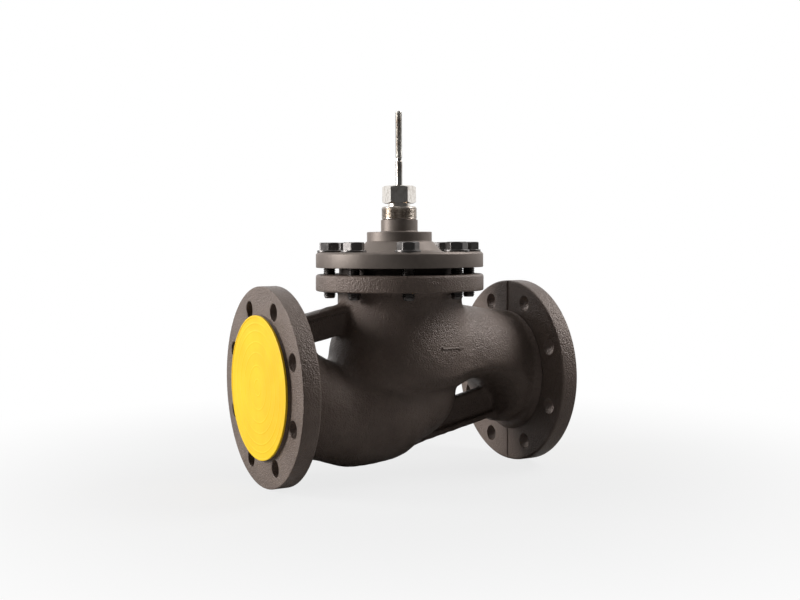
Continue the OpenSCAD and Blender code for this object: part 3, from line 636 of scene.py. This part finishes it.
@dataclass
class Casting:
    """The cast body between its flanges: inlet passage, bowl, chamber, outlet passage, neck and struts."""

    wall: float = 10.0
    reach: float = 151.0
    embed: float = 0.8
    inlet_start: tuple = (-151.0, 0.0, 65.5)
    bend: tuple = (-112.0, -24.0, 57.5)
    knuckle: tuple = (-68.0, -38.0, 58.5)
    belly: tuple = (-35.0, -26.0, 68.0)
    bowl: tuple = (3.0, -12.0, 62.0)
    barrel: tuple = (0.0, 20.0, 83.0)
    outlet_start: tuple = (0.0, 20.0, 76.0)
    outlet_end: tuple = (151.0, 4.0, 66.0)
    cove: tuple = (86.5, -43.0, 38.0)
    bridge: tuple = (-8.0, 6.0)
    crest: tuple = ((-151, -135, -112, -91, -72, -55), (80, 64, 36, 24.5, 22, 60))
    crest_r: float = 60.0
    saddle: float = 0.3
    foot_r: float = 69.5
    outlet_floor: float = -4.5
    neck_r: float = 71.8
    neck_bore_r: float = 61.0
    neck_top: float = 101.6
    seat_bore_r: float = 54.0
    port_r: float = 50.4
    hub: tuple = (150.0, 65.2, 5.2)
    web_t: float = 12.0
    lip_t: float = 24.0
    top_web: tuple = ((-156, 35.9), (-60, 57.4), (-60, 90.4), (-156, 68.9))
    top_lip: tuple = ((-156, 61.7), (-60, 83.2), (-60, 90.4), (-156, 68.9))
    foot_web: tuple = ((156, -46.9), (156, -8.9), (0, -43), (0, -81))
    foot_lip: tuple = ((156, -46.9), (156, -39.7), (0, -73.8), (0, -81))
    flange_in: float = 0.5
    hidden_in: float = 6.0
    port_core_r: float = 77.0
    neck_core_r: float = 78.0
    step: float = 2.2
    low: tuple = (-153.2, -86.9, -97.1)
    high: tuple = (153.5, 88.0, 104.3)
    roughness: float = 0.28
    fillets: tuple = (11, 12, 8, 7, 4, 6, 5)
    arrow_tail: tuple = (8.5, 39.8)
    arrow_tip: tuple = (42.0, 38.2)
    arrow_span: tuple = (-100.0, -30.0)
    arrow_width: tuple = ((0, 0.72, 0.74, 1), (1.2, 1.2, 3.3, 0.2))
    arrow_section: tuple = ((-1, -1, -0.6, 0.6, 1, 1), (-1.5, 0.9, 1.4, 1.4, 0.9, -1.5))

    def inlet(self, x: Array, y: Array, z: Array, inset: float) -> Array:
        """The falling inlet passage under its crest line, with its bowl, drawn in by an inset."""
        balls = (self.inlet_start, self.bend, self.knuckle, self.belly, self.bowl)
        start, bend, knuckle, belly, bowl = ((a, b, r - inset) for a, b, r in balls)
        d = smooth_min(round_cone(x, y, z, start, bend), round_cone(x, y, z, bend, knuckle), 6)
        over = np.maximum(z - np.interp(x, *self.crest) + self.crest_r, 0)
        d = smooth_max(d, np.sqrt(y**2 + over**2) - self.crest_r + inset, 8)
        d = smooth_min(d, ball(x, y, z, *belly), 12)
        return smooth_min(d, ball(x, y, z, *bowl), 8)

    def outlet(self, x: Array, y: Array, z: Array, inset: float) -> Array:
        """The outlet passage less the cove, whose radius grows off the middle plane like an elbow's."""
        start, end = ((a, b, r - inset) for a, b, r in (self.outlet_start, self.outlet_end))
        cove_x, cove_z, cove_r = self.cove
        lobe = self.outlet_end[2] - inset
        rise = self.saddle * (lobe - np.sqrt(lobe**2 - np.minimum(np.abs(y), 0.98 * lobe) ** 2))
        hollow = cove_r + inset + rise - np.sqrt((x - cove_x) ** 2 + (z - cove_z) ** 2)
        level = self.outlet_floor + (self.bridge[1] - self.outlet_floor) * inset / self.wall
        floor = np.minimum(level + rise - z, cove_x - x)
        d = smooth_max(round_cone(x, y, z, start, end), hollow, 10)
        return smooth_max(d, floor, 3)

    def struts(self, x: Array, y: Array, z: Array) -> Array:
        """The two sloping struts, each a web with a lip along its free edge."""
        upper, lower = (smooth_min(slab(x, y, z, web, self.web_t, 3), slab(x, y, z, lip, self.lip_t, 3), 4)
                        for web, lip in ((self.top_web, self.top_lip), (self.foot_web, self.foot_lip)))
        return np.minimum(upper, lower)

    def shell(self, x: Array, y: Array, z: Array) -> Array:
        """The outside: the chamber, and with a fillet each the outlet, neck, inlet, struts, hubs and ends."""
        across, about = np.sqrt(x**2 + y**2), np.sqrt(y**2 + z**2)
        low = self.bridge[0]
        d = smooth_max(ball(x, y, z, *self.barrel), low - z + 0 * across, 6)
        d = smooth_max(d, (across - self.foot_r - (z - low)) / math.sqrt(2), 4)
        neck = smooth_max(across - self.neck_r, self.barrel[1] - z, 4)
        hub_x, hub_r, hub_t = self.hub
        hubs = np.sqrt((about - hub_r) ** 2 + (np.abs(x) - hub_x) ** 2) - hub_t
        top, ends = self.neck_top + self.flange_in - z, self.reach + self.flange_in - np.abs(x)
        lobes = (self.outlet(x, y, z, 0), neck, self.inlet(x, y, z, 0), self.struts(x, y, z), hubs,
                 top + 0 * across, ends + 0 * across)
        for lobe, k in zip(lobes, self.fillets):
            d = smooth_min(d, lobe, k)
        return d

    def hollows(self, x: Array, y: Array, z: Array) -> Array:
        """The space inside: both passages, the chamber, the seat's hole, the neck's bore and the ports."""
        across, about = np.sqrt(x**2 + y**2), np.sqrt(y**2 + z**2)
        low, high = self.bridge
        outside = -smooth_max(ball(x, y, z, *self.barrel), low - z + 0 * across, 2)
        below = np.maximum(self.inlet(x, y, z, self.wall), outside)
        bx, bz, br = self.barrel
        chamber = np.maximum(ball(x, y, z, bx, bz, br - self.wall), high - z)
        above = smooth_min(chamber, self.outlet(x, y, z, self.wall), 4)
        above = np.minimum(above, np.maximum(across - self.neck_bore_r, self.barrel[1] - z))
        seat = np.maximum(across - self.seat_bore_r, np.maximum(low - 2 - z, z - high - 2))
        port = np.maximum(about - self.port_r, self.reach - self.wall - np.abs(x))
        return np.minimum(np.minimum(below, above), np.minimum(seat, port))

    def field(self, x: Array, y: Array, z: Array) -> Array:
        """The finished casting: its shell with the unevenness of the sand, less its hollows, trimmed."""
        outside = self.shell(x, y, z) + self.roughness * waves(x, y, z)
        d = smooth_max(outside, -self.hollows(x, y, z), 1.0)
        about = np.sqrt(y**2 + z**2)
        d = np.maximum(d, np.abs(x) - self.reach - self.embed + 0 * about)
        d = np.maximum(d, z - self.neck_top - self.embed + 0 * about)
        d = np.maximum(d, np.where(np.abs(x) > self.reach - self.hidden_in, about - self.port_core_r, -10))
        core = np.sqrt(x**2 + y**2) - self.neck_core_r
        return np.maximum(d, np.where(z > self.neck_top - self.hidden_in, core, -10))

    def arrow(self) -> Surface:
        """The flow arrow on the near side: a strip of changing width whose points stand off the skin. The
        skin is found by halving the span in y in which the shell changes sign."""
        t = np.linspace(0, 1, 31)[:, None]
        share, rise = np.array(self.arrow_section)[:, None, :]
        x, z = (tail + (tip - tail) * t + 0 * share for tail, tip in zip(self.arrow_tail, self.arrow_tip))
        z = z + np.interp(t, *self.arrow_width) * share
        out, within = (np.full_like(x, y) for y in self.arrow_span)
        for _ in range(24):
            middle = (out + within) / 2
            clear = self.shell(x, middle, z) > 0
            out, within = np.where(clear, middle, out), np.where(clear, within, middle)
        rings = np.stack([x, within - rise, z], axis=-1)
        ends = rings.mean(axis=1, keepdims=True) + 0 * rings
        return Surface.grid(np.concatenate([ends[:1], rings, ends[-1:]])).welded().flipped()

    def build(self, coat: bpy.types.Material) -> None:
        """Meshes the casting and lets it stand for its solids."""
        skin = skin_of_field(self.field, self.low, self.high, self.step)
        piece = Surface.joined(skin, self.arrow()).moved(z=BORE_AXIS_H).as_object("cast_body", coat, 50)
        dress(piece, Body.VALVE, "casting", "valve_body", "inlet_chamber", "inlet_bowl",
              "inlet_strut", "outlet_strut")


@dataclass
class PipeFlange:
    """A pipe flange with its raised face, bolt holes and the spot faces round them."""

    side: Side
    rim_r: float = 110.0
    thickness: float = 21.0
    face_r: float = 79.0
    face_h: float = 3.0
    bore_r: float = 50.0
    back_x: float = 151.0
    hole_r: float = 9.5
    circle_r: float = 90.0
    count: int = 8
    hub_r: float = 71.0
    spot_r: float = 16.0
    edge: float = 3.0
    chamfer: float = 0.6
    back_z: float = 0.5
    parting_step: float = 1.1
    sand: float = 0.12

    def back_relief(self, surface: Surface) -> Surface:
        """Moves the back face: the half beyond the mould's parting line stands proud by the parting step, and
        the columns of points next to that line move close to it, so that the step is steep."""
        x, y, z = surface.points.T
        back = np.clip(1 - z / 4, 0, 1)
        lift = self.back_z - self.parting_step * (y * self.side.value > 0.02) + self.sand * waves(x, y, z)
        r, angle, step = np.hypot(x, y), np.arctan2(np.abs(y), np.abs(x)), FULL_TURN / 128
        angle = np.interp(angle, (0, step, 2 * step, 2), (0, 0.12 * step, 2 * step, 2))
        return Surface(np.stack([r * np.cos(angle) * np.sign(x), r * np.sin(angle) * np.sign(y),
                                 z + back * lift], axis=1), surface.faces)

    def build(self, coat: bpy.types.Material) -> None:
        """Builds the flange as one closed surface."""
        t, bevel, face_z = self.thickness, self.chamfer, self.thickness + self.face_h
        inner, outer = self.rim_r - self.edge, self.rim_r - 2 * bevel
        plate = DrilledPlate(self.count, self.circle_r, self.hub_r, inner)
        back = [(self.hole_r, 0), (self.spot_r - 0.5, 0), (self.spot_r, 0)]
        front = [(self.hole_r, -bevel), (self.hole_r + bevel, 0)]
        rim = [(inner, 0), (self.rim_r, 0, self.edge * 0.98), (self.rim_r, t, 1), (outer, t)]
        face = [(self.face_r, t), (self.face_r - 0.8, face_z, 0.5), (self.bore_r, face_z, 0.6),
                (self.bore_r, 0), (self.hub_r, 0)]
        whole = Surface.joined(
            plate.face(back, spread=6).upside_down(), plate.face(front, self.face_r, outer).moved(z=t),
            Surface.lathe(rim, plate.sides), Surface.lathe(face, plate.sides),
            plate.wall(self.hole_r, 0, t - bevel))
        whole = self.back_relief(whole.welded()).moved(z=self.back_x).laid(self.side).moved(z=BORE_AXIS_H)
        name = f"{self.side.name.lower()}_flange"
        dress(whole.as_object(f"{name}_plate", coat), Body.VALVE, "casting", name)


@dataclass
class TopFlange:
    """The casting's flange under the cover, with the gasket's recess and the screw holes."""

    rim_r: float = 97.0
    low: float = 211.6
    high: float = 230.6
    bore_r: float = 61.0
    recess_r: float = 70.3
    recess_z: float = 226.6
    hole_r: float = 7.0
    circle_r: float = 81.0
    count: int = 8
    edge: float = 3.6
    sand: float = 0.0018
    sand_r: tuple = (90.0, 96.0)

    def build(self, coat: bpy.types.Material) -> None:
        """Builds the flange as one closed surface."""
        plate = DrilledPlate(self.count, self.circle_r, self.recess_r, self.rim_r - self.edge)
        faces = plate.face([(self.hole_r, 0), (self.hole_r + 0.8, 0)])
        rim = [(self.rim_r - self.edge, self.low), (self.rim_r, self.low, 2), (self.rim_r, self.high, 3.5),
               (self.rim_r - self.edge, self.high)]
        inner = [(self.recess_r, self.high), (self.recess_r, self.recess_z), (self.bore_r, self.recess_z),
                 (self.bore_r, self.low), (self.recess_r, self.low)]
        whole = Surface.joined(
            faces.moved(z=self.high), faces.upside_down().moved(z=self.low), Surface.lathe(rim, plate.sides),
            Surface.lathe(inner, plate.sides), plate.wall(self.hole_r, self.low, self.high)).welded()
        x, y, z = whole.points.T
        side = np.interp(np.hypot(x, y), self.sand_r, (0, 1))
        whole.points = whole.points * (1 - self.sand * side * (1 + waves(x, y, z)))[:, None] ** [1, 1, 0]
        dress(whole.as_object("top_flange_plate", coat), Body.VALVE, "casting", "top_flange")


@dataclass
class Cover:
    """The bolted cover: flange, cone, boss for the drive and neck, hollow underneath."""

    rim_r: float = 96.5
    low: float = 238.3
    high: float = 255.8
    rim_cut: float = 2.2
    hole_r: float = 7.75
    circle_r: float = 81.0
    count: int = 8
    male_r: float = 70.0
    male_z: float = 228.6
    top_r: float = 64.0
    cone_r: float = 49.2
    cone_top: tuple = (38.7, 267.5)
    boss: tuple = (37.5, 278.8)
    neck: tuple = (21.2, 292.8)
    bore: tuple = (15.0, 249.0)
    guide: tuple = (7.0, 214.0)
    hub_r: float = 24.0
    roof_z: float = 243.0
    skirt: tuple = (50.1, 60.6, 218.0)

    def build(self, coat: bpy.types.Material) -> None:
        """Builds the cover as one closed surface of turned lines and drilled faces."""
        plate = DrilledPlate(self.count, self.circle_r, self.male_r, self.rim_r - 1)
        ring = [(self.hole_r, 0), (self.hole_r + 0.6, 0)]
        cut = self.rim_cut
        rim = [(self.rim_r - 1, self.low), (self.rim_r, self.low, 0.9), (self.rim_r, self.high - cut, 0.5),
               (self.rim_r - cut, self.high)]
        (boss_r, boss_z), (neck_r, neck_z), (bore_r, bore_z) = self.boss, self.neck, self.bore
        (guide_r, guide_z), (inner, outer, skirt_z) = self.guide, self.skirt
        outside = [(self.top_r, self.high), (self.cone_r, self.high, 3.2), (*self.cone_top, 0.6),
                   (boss_r, self.cone_top[1] + 0.5, 0.6), (boss_r, boss_z, 0.9), (neck_r, boss_z, 1.9),
                   (neck_r, neck_z, 0.5)]
        bores = [(bore_r, neck_z), (bore_r, bore_z), (guide_r, bore_z), (guide_r, guide_z, 1)]
        under = [(self.hub_r, guide_z, 1.5), (self.hub_r, self.roof_z, 3), (inner, self.roof_z, 4),
                 (inner, skirt_z, 1.5), (outer, skirt_z, 0.8), (outer, self.male_z, 0.8),
                 (self.male_r, self.male_z, 0.8), (self.male_r, self.low)]
        whole = Surface.joined(
            plate.face(ring, self.top_r, self.rim_r - cut).moved(z=self.high),
            plate.face(ring).upside_down().moved(z=self.low), Surface.lathe(rim, plate.sides, 3),
            Surface.lathe(outside + bores + under, plate.sides),
            plate.wall(self.hole_r, self.low, self.high)).welded()
        dress(whole.as_object("cover_body", coat), Body.VALVE, "cover_casting", "bonnet")


@dataclass
class CoverScrews:
    """The hexagon screws of the cover with their washers."""

    count: int = 8
    circle_r: float = 81.0
    seat_z: float = 255.8
    washer_r: float = 14.0
    washer_t: float = 2.5
    flats: float = 22.0
    head_h: float = 8.8
    thread_r: float = 7.0
    length: float = 55.0
    pitch: float = 2.0
    depth: float = 1.0
    shank: float = 14.0
    gap: float = 0.15
    wander: tuple = (0.04, -0.03, 0.06, -0.05, 0.02, -0.07, 0.05, 0.0)

    def build(self, blackened: bpy.types.Material) -> None:
        """Builds all screws as one piece and all washers as another."""
        head_z, r = self.seat_z + self.washer_t, self.thread_r
        low, top, plain = head_z - self.length, head_z + self.head_h, head_z - self.shank
        core, neck, crown = r - self.depth, r - 0.1, self.flats / 2 * 0.96
        screw = Surface.joined(
            hexagon_skin(self.flats, self.head_h, top_cut=0.55, crown_r=crown).moved(z=head_z),
            Surface.lathe([(crown, top), (0.6, top), (0, top)]),
            Surface.lathe([(0, head_z), (crown, head_z)]),
            screw_skin(r, self.depth, self.pitch, low + 1.2, plain),
            Surface.lathe([(0, low), (core - 0.8, low), (core, low + 1.2)], 48),
            Surface.lathe([(core, plain), (neck, plain + 0.8), (neck, head_z + 0.4), (0, head_z + 0.4)], 48))
        pitch = FULL_TURN / self.count
        screws = Surface.joined(*(screw.turned(share).moved(x=self.circle_r).turned((i + 0.5) * pitch)
                                  for i, share in enumerate(self.wander)))
        hole = r + self.gap
        ring = [(hole, self.seat_z), (self.washer_r, self.seat_z, 0.3), (self.washer_r, head_z, 0.7),
                (hole, head_z), (hole, self.seat_z)]
        washers = Surface.lathe(ring, 64, 3).around(self.count, self.circle_r)
        dress(screws.welded().as_object("cover_screws", blackened, 25), Body.VALVE, "screws", "bonnet_bolts")
        dress(washers.welded().as_object("cover_washers", blackened), Body.VALVE, "washers", "bonnet_washers")


@dataclass
class PackingHead:
    """The threaded sleeve that takes the drive, and the hexagon nut that loads the packing."""

    sleeve_r: float = 20.5
    spigot_r: float = 15.0
    low: float = 250.5
    ring_z: float = 292.8
    top: float = 307.8
    pitch: float = 1.5
    shank_r: float = 13.0
    hex_z: float = 311.5
    nut_top: float = 331.8
    flats: float = 34.0
    bore_r: float = 4.4
    pocket: tuple = (10.0, 256.0, 295.0)
    nut_low: float = 297.0
    dish: tuple = (8.0, 6.0)
    depth: float = 0.75

    def build(self, turned: bpy.types.Material, nut_steel: bpy.types.Material) -> None:
        """Builds the sleeve and the nut."""
        root, bore, shank = self.sleeve_r - self.depth, self.bore_r, self.shank_r
        start, end = self.ring_z + 0.7, self.top - 0.8
        pocket_r, pocket_low, pocket_top = self.pocket
        lower = [(bore, self.low), (self.spigot_r, self.low), (self.spigot_r, self.ring_z),
                 (root - 0.6, self.ring_z), (root, start)]
        upper = [(root, end), (root - 0.8, self.top), (shank + 0.6, self.top), (shank, self.top - 0.6),
                 (shank, pocket_top), (pocket_r, pocket_top), (pocket_r, pocket_low), (bore, pocket_low),
                 (bore, self.low)]
        thread = screw_skin(self.sleeve_r, self.depth, self.pitch, start, end, 96)
        sleeve = Surface.joined(Surface.lathe(lower), thread, Surface.lathe(upper)).welded()
        dress(sleeve.as_object("threaded_sleeve", turned, 25), Body.VALVE, "turned_steel", "packing_sleeve")
        crown, top, (dish_r, dish_h) = self.flats / 2 * 0.965, self.nut_top, self.dish
        skin = hexagon_skin(self.flats, top - self.hex_z, 0.5, 0.5, crown, edge=0.2).moved(z=self.hex_z)
        bottom = [(bore, self.nut_low), (shank, self.nut_low, 0.6), (shank, self.hex_z), (crown, self.hex_z)]
        inside = [(crown, top), (dish_r, top, 0.5), (dish_r, top - dish_h), (bore, top - dish_h),
                  (bore, self.nut_low)]
        nut = Surface.joined(Surface.lathe(bottom, steps=3), skin, Surface.lathe(inside, steps=3)).welded()
        nut = nut.turned(math.radians(1))
        dress(nut.as_object("packing_nut", nut_steel, 25), Body.VALVE, "nut_steel", "gland_nut")


@dataclass
class StemRod:
    """The stem: a ground rod with an undercut below its threaded tip."""

    r: float = 4.0
    low: float = 127.3
    top: float = 417.6
    thread_z: float = 363.6
    undercut_h: float = 4.1
    undercut_r: float = 3.2
    pitch: float = 1.25
    depth: float = 0.68
    tip: float = 0.9
    sides: int = 40

    def build(self, steel: bpy.types.Material) -> None:
        """Builds the rod, its undercut and its thread."""
        neck, root, end = self.thread_z - self.undercut_h, self.r - self.depth, self.top - self.tip
        rod = rounded([(0, self.low), (self.r, self.low, 0.4), (self.r, neck, 0.15),
                       (self.undercut_r, neck + 0.8, 0.4), (self.undercut_r, self.thread_z - 0.5, 0.1),
                       (root, self.thread_z)], 3)
        rod = np.concatenate([rod[:4], rod[4] + (rod[5] - rod[4]) * np.linspace(0, 1, 24)[:, None], rod[6:]])
        point = [(root, end), (root - 0.7, self.top, 0.3), (0, self.top)]
        whole = Surface.joined(Surface.lathe(rod, self.sides),
                               screw_skin(self.r, self.depth, self.pitch, self.thread_z, end, self.sides),
                               Surface.lathe(point, self.sides, 3)).welded()
        dress(whole.as_object("stem_rod", steel, 40), Body.STEM, "stem_steel", "stem")


@dataclass
class Protector:
    """A plastic plug on a pipe flange: a disc with a rim and moulded rings, and a collar in the bore."""

    side: Side
    body: Body
    disc_r: float = 78.7
    near: float = 175.3
    thickness: float = 2.0
    rim_h: float = 0.5
    collar_r: float = 49.7
    collar_t: float = 2.5
    collar_end: float = 161.3
    rings_r: tuple = (70, 61.5, 49.6, 38, 24, 9)
    ring_h: float = 0.22
    ring_w: float = 0.55
    dish: tuple = (0.25, 60.0)

    def build(self, plastic: bpy.types.Material) -> None:
        """Turns the disc and its collar in one line, with low rings on the disc's face."""
        r = np.concatenate([[self.disc_r - 2.4], np.arange(75.5, 0.4, -0.5), [0]])
        rings = sum(self.ring_h * np.exp(-(((r - at) / self.ring_w) ** 2)) for at in self.rings_r)
        dish = -self.dish[0] * np.clip(1 - r / self.dish[1], 0, 1)
        outer = self.near + self.thickness
        face = np.stack([r, outer + np.clip(rings + dish, -0.3, self.rim_h)], axis=1)
        edge = rounded([(self.collar_r, self.near), (self.disc_r, self.near, 0.5),
                        (self.disc_r, outer + self.rim_h, 0.6), (self.disc_r - 1.9, outer + self.rim_h)], 4)
        inner = self.collar_r - self.collar_t
        collar = rounded([(0, self.near), (inner, self.near, 0.8), (inner, self.collar_end, 0.4),
                          (self.collar_r, self.collar_end, 0.9), (self.collar_r, self.near)], 3)
        whole = Surface.lathe(np.concatenate([collar, edge[1:], face]), 160)
        name = self.body.value
        whole = whole.laid(self.side).moved(z=BORE_AXIS_H).welded()
        dress(whole.as_object(f"{name}_disc", plastic), self.body, "cap_plastic", name)


@dataclass
class InnerTrim:
    """The pieces that the solids already give the right shape: they only get their finishes."""

    finishes: dict

    def build(self, looks: dict) -> None:
        """Puts each finish on the solids that carry it.

        Args:
            looks: the materials by name.
        """
        for finish, nodes in self.finishes.items():
            for node in nodes:
                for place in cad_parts[node].material_slots:
                    place.material = looks[finish]
                log.info("%s keeps its solid, with %s", node, finish)


@dataclass
class Studio:
    """The pale floor, soft lamps, white surroundings and the photograph's camera."""

    eye: tuple = (-0.6129, -1.0985, 0.262)
    yaw: float = 29.172
    pitch: float = 2.814
    roll: float = 0.338
    lens: float = 48.92
    sensor: float = 36.0
    clip: tuple = (0.01, 100.0)
    floor_half: float = 6.0
    world_light: float = 0.035
    front_dim: float = 0.05
    behind: tuple = (-0.15, 0.45)
    floor_tone: tuple = (0.35, 0.35, 0.35)
    floor_glow: float = 0.8
    fade: tuple = (0.2, 0.75)

    def put(self, data: bpy.types.ID, side: Array, back: Array, place: tuple) -> bpy.types.Object:
        """Links an object at a place, turned so that its x axis is the side and its z axis the back."""
        turn = np.eye(4)
        turn[:3, :3] = np.stack([side, np.cross(back, side), back], axis=1)
        turn[:3, 3] = place
        made = bpy.data.objects.new(data.name, data)
        made.matrix_world = Matrix(turn.tolist())
        bpy.context.scene.collection.objects.link(made)
        return made

    def camera(self) -> None:
        """Makes the camera: it looks along the yaw and pitch, with its sensor turned by the roll."""
        yaw, pitch, roll = (math.radians(a) for a in (self.yaw, self.pitch, self.roll))
        ahead = np.array([math.sin(yaw) * math.cos(pitch), math.cos(yaw) * math.cos(pitch), -math.sin(pitch)])
        right = np.array([math.cos(yaw), -math.sin(yaw), 0])
        data = bpy.data.cameras.new("camera")
        data.lens, data.sensor_width = self.lens, self.sensor
        data.clip_start, data.clip_end = self.clip
        side = math.cos(roll) * right + math.sin(roll) * np.cross(ahead, right)
        bpy.context.scene.camera = self.put(data, side, -ahead, self.eye)

    def lamp(self, name: str, place: tuple, aim_z: float, size: float, power: float) -> None:
        """Makes a square lamp at a place that shines at a height on the stem's axis."""
        data = bpy.data.lights.new(name, "AREA")
        data.size, data.energy = size, power
        back = np.array(place) - [0, 0, aim_z]
        back = back / np.linalg.norm(back)
        side = np.cross([0, 0, 1], back)
        self.put(data, side / np.linalg.norm(side), back, place)

    def surroundings(self) -> None:
        """A dim world that is white to the camera; mirrors see it white behind the part and dim in front."""
        net, yaw = Net("studio", "worlds"), math.radians(self.yaw)
        soft, white = (net.node("Background", None, [WHITE, strength])
                       for strength in (self.world_light, 1.0))
        camera, glossy, through = (net.node("LightPath", out=f"Is {kind} Ray")
                                   for kind in ("Camera", "Glossy", "Transmission"))
        ahead = net.node("VectorMath", {"operation": "DOT_PRODUCT"},
                         [net.node("TexCoord", out="Generated"), (math.sin(yaw), math.cos(yaw), 0)], "Value")
        mirror = glossy * ahead.between(*self.behind, self.front_dim)
        clear = camera.maths("MAXIMUM", mirror).maths("MAXIMUM", through)
        net.show(net.node("MixShader", None, [clear, soft, white]))
        bpy.context.scene.world = net.owner
        bpy.context.scene.view_settings.view_transform = "Standard"

    def floor(self) -> None:
        """A pale floor that fades to white away from the part, so that only its shadow shows."""
        h = self.floor_half / MM
        corners = np.array([[-h, -h, 0], [h, -h, 0], [h, h, 0], [-h, h, 0]])
        sheet = Surface(corners, np.arange(4)[None])
        net = Net("pale_floor")
        net.finish(Base_Color=self.floor_tone, Roughness=0.9)
        x, y = net.part("X"), net.part("Y")
        away = (x * x + y * y).maths("POWER", 0.5)
        glow = net.node("Emission", None, [WHITE, 1.0])
        share = (away.between(*self.fade) * (1 - self.floor_glow) + self.floor_glow) * net.node(
            "LightPath", out="Is Camera Ray")
        paint = Wire(net, net.tree.nodes["Principled BSDF"].outputs[0])
        net.show(net.node("MixShader", None, [share, paint, glow]))
        sheet.as_object("floor", net.owner)

    def build(self) -> None:
        """Sets up the camera, the lamps, the world and the floor."""
        self.camera()
        self.lamp("left", (-1.68, 0.72, 0.7), aim_z=0.15, size=0.8, power=37)
        self.lamp("right", (1.35, -0.42, 1.45), aim_z=0.15, size=1.0, power=27)
        self.lamp("top", (-0.2, 0.3, 1.9), aim_z=0.2, size=1.2, power=4)
        self.surroundings()
        self.floor()


def dress(piece: bpy.types.Object, body: Body, finish_slot: str, *nodes: str) -> None:
    """Puts a finished piece on the body that it rides on and hides the solids that it stands for.

    Args:
        piece: the piece.
        body: the body that it moves with.
        finish_slot: the record's material slot; not used.
        nodes: the solids that it replaces.
    """
    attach(piece, body.value)
    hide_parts(*nodes)
    log.info("%s stands for %s, %d faces", piece.name, ", ".join(nodes), len(piece.data.polygons))


FINISHES = {
    "cast_coat": CastCoat(),
    # the cover's coat paints a shadow: nearly black on the parts below its flange, for the shade in the gap
    "cover_coat_with_painted_shadow": CastCoat(base=(0.16, 0.134, 0.118), warm=(0.21, 0.18, 0.158), rubbed=(0.3, 0.27, 0.24),
                           grain=1.6, painted_shadow_off=0.0, bump=0.1, roughness=0.46, metallic=0.3, gloss=0.5),
    "turned_steel": TurnedSteel(),
    "nut_steel": TurnedSteel(light=(0.80, 0.76, 0.71), dark=(0.58, 0.53, 0.48), roughness=0.2, stain=5),
    "stem_steel": TurnedSteel(light=(0.66, 0.64, 0.6), roughness=0.22, rings=0.5),
    "trim_steel": TurnedSteel(roughness=0.28),
    "spring_steel": TurnedSteel(light=(0.48, 0.48, 0.48), dark=(0.33, 0.33, 0.33), roughness=0.3),
    "bronze": TurnedSteel(light=(0.62, 0.43, 0.2), dark=(0.42, 0.27, 0.11), roughness=0.28),
    "black_oxide": BlackOxide(),
    "seal_rubber": SoftSeal(),
    "graphite": SoftSeal(base=(0.05, 0.05, 0.055), dusty=(0.09, 0.09, 0.095), roughness=0.55),
    "packing": SoftSeal(base=(0.78, 0.78, 0.75), dusty=(0.6, 0.6, 0.57), roughness=0.5),
    "yellow_plastic": MouldedPlastic(),
}


def main() -> None:
    """Builds the valve piece by piece, then the studio."""
    logging.basicConfig(level=logging.INFO, format="%(name)s: %(message)s")
    looks = {name: finish.build(name) for name, finish in FINISHES.items()}
    Casting().build(looks["cast_coat"])
    for side in Side:
        PipeFlange(side).build(looks["cast_coat"])
    TopFlange().build(looks["cast_coat"])
    Cover().build(looks["cover_coat_with_painted_shadow"])
    CoverScrews().build(looks["black_oxide"])
    PackingHead().build(looks["turned_steel"], looks["nut_steel"])
    StemRod().build(looks["stem_steel"])
    Protector(Side.INLET, Body.INLET_CAP).build(looks["yellow_plastic"])
    Protector(Side.OUTLET, Body.OUTLET_CAP).build(looks["yellow_plastic"])
    InnerTrim({
        "trim_steel": ("seat_ring", "plug"),
        "spring_steel": ("plug_pin", "packing_spring", "spring_washer"),
        "bronze": ("guide_bush", "gland_bush"),
        "graphite": ("seat_seal", "bonnet_gasket", "sleeve_gasket"),
        "seal_rubber": ("plug_seal", "wiper_ring"),
        "packing": ("packing_rings",),
    }).build(looks)
    Studio().build()


if __name__ == "__main__":
    main()
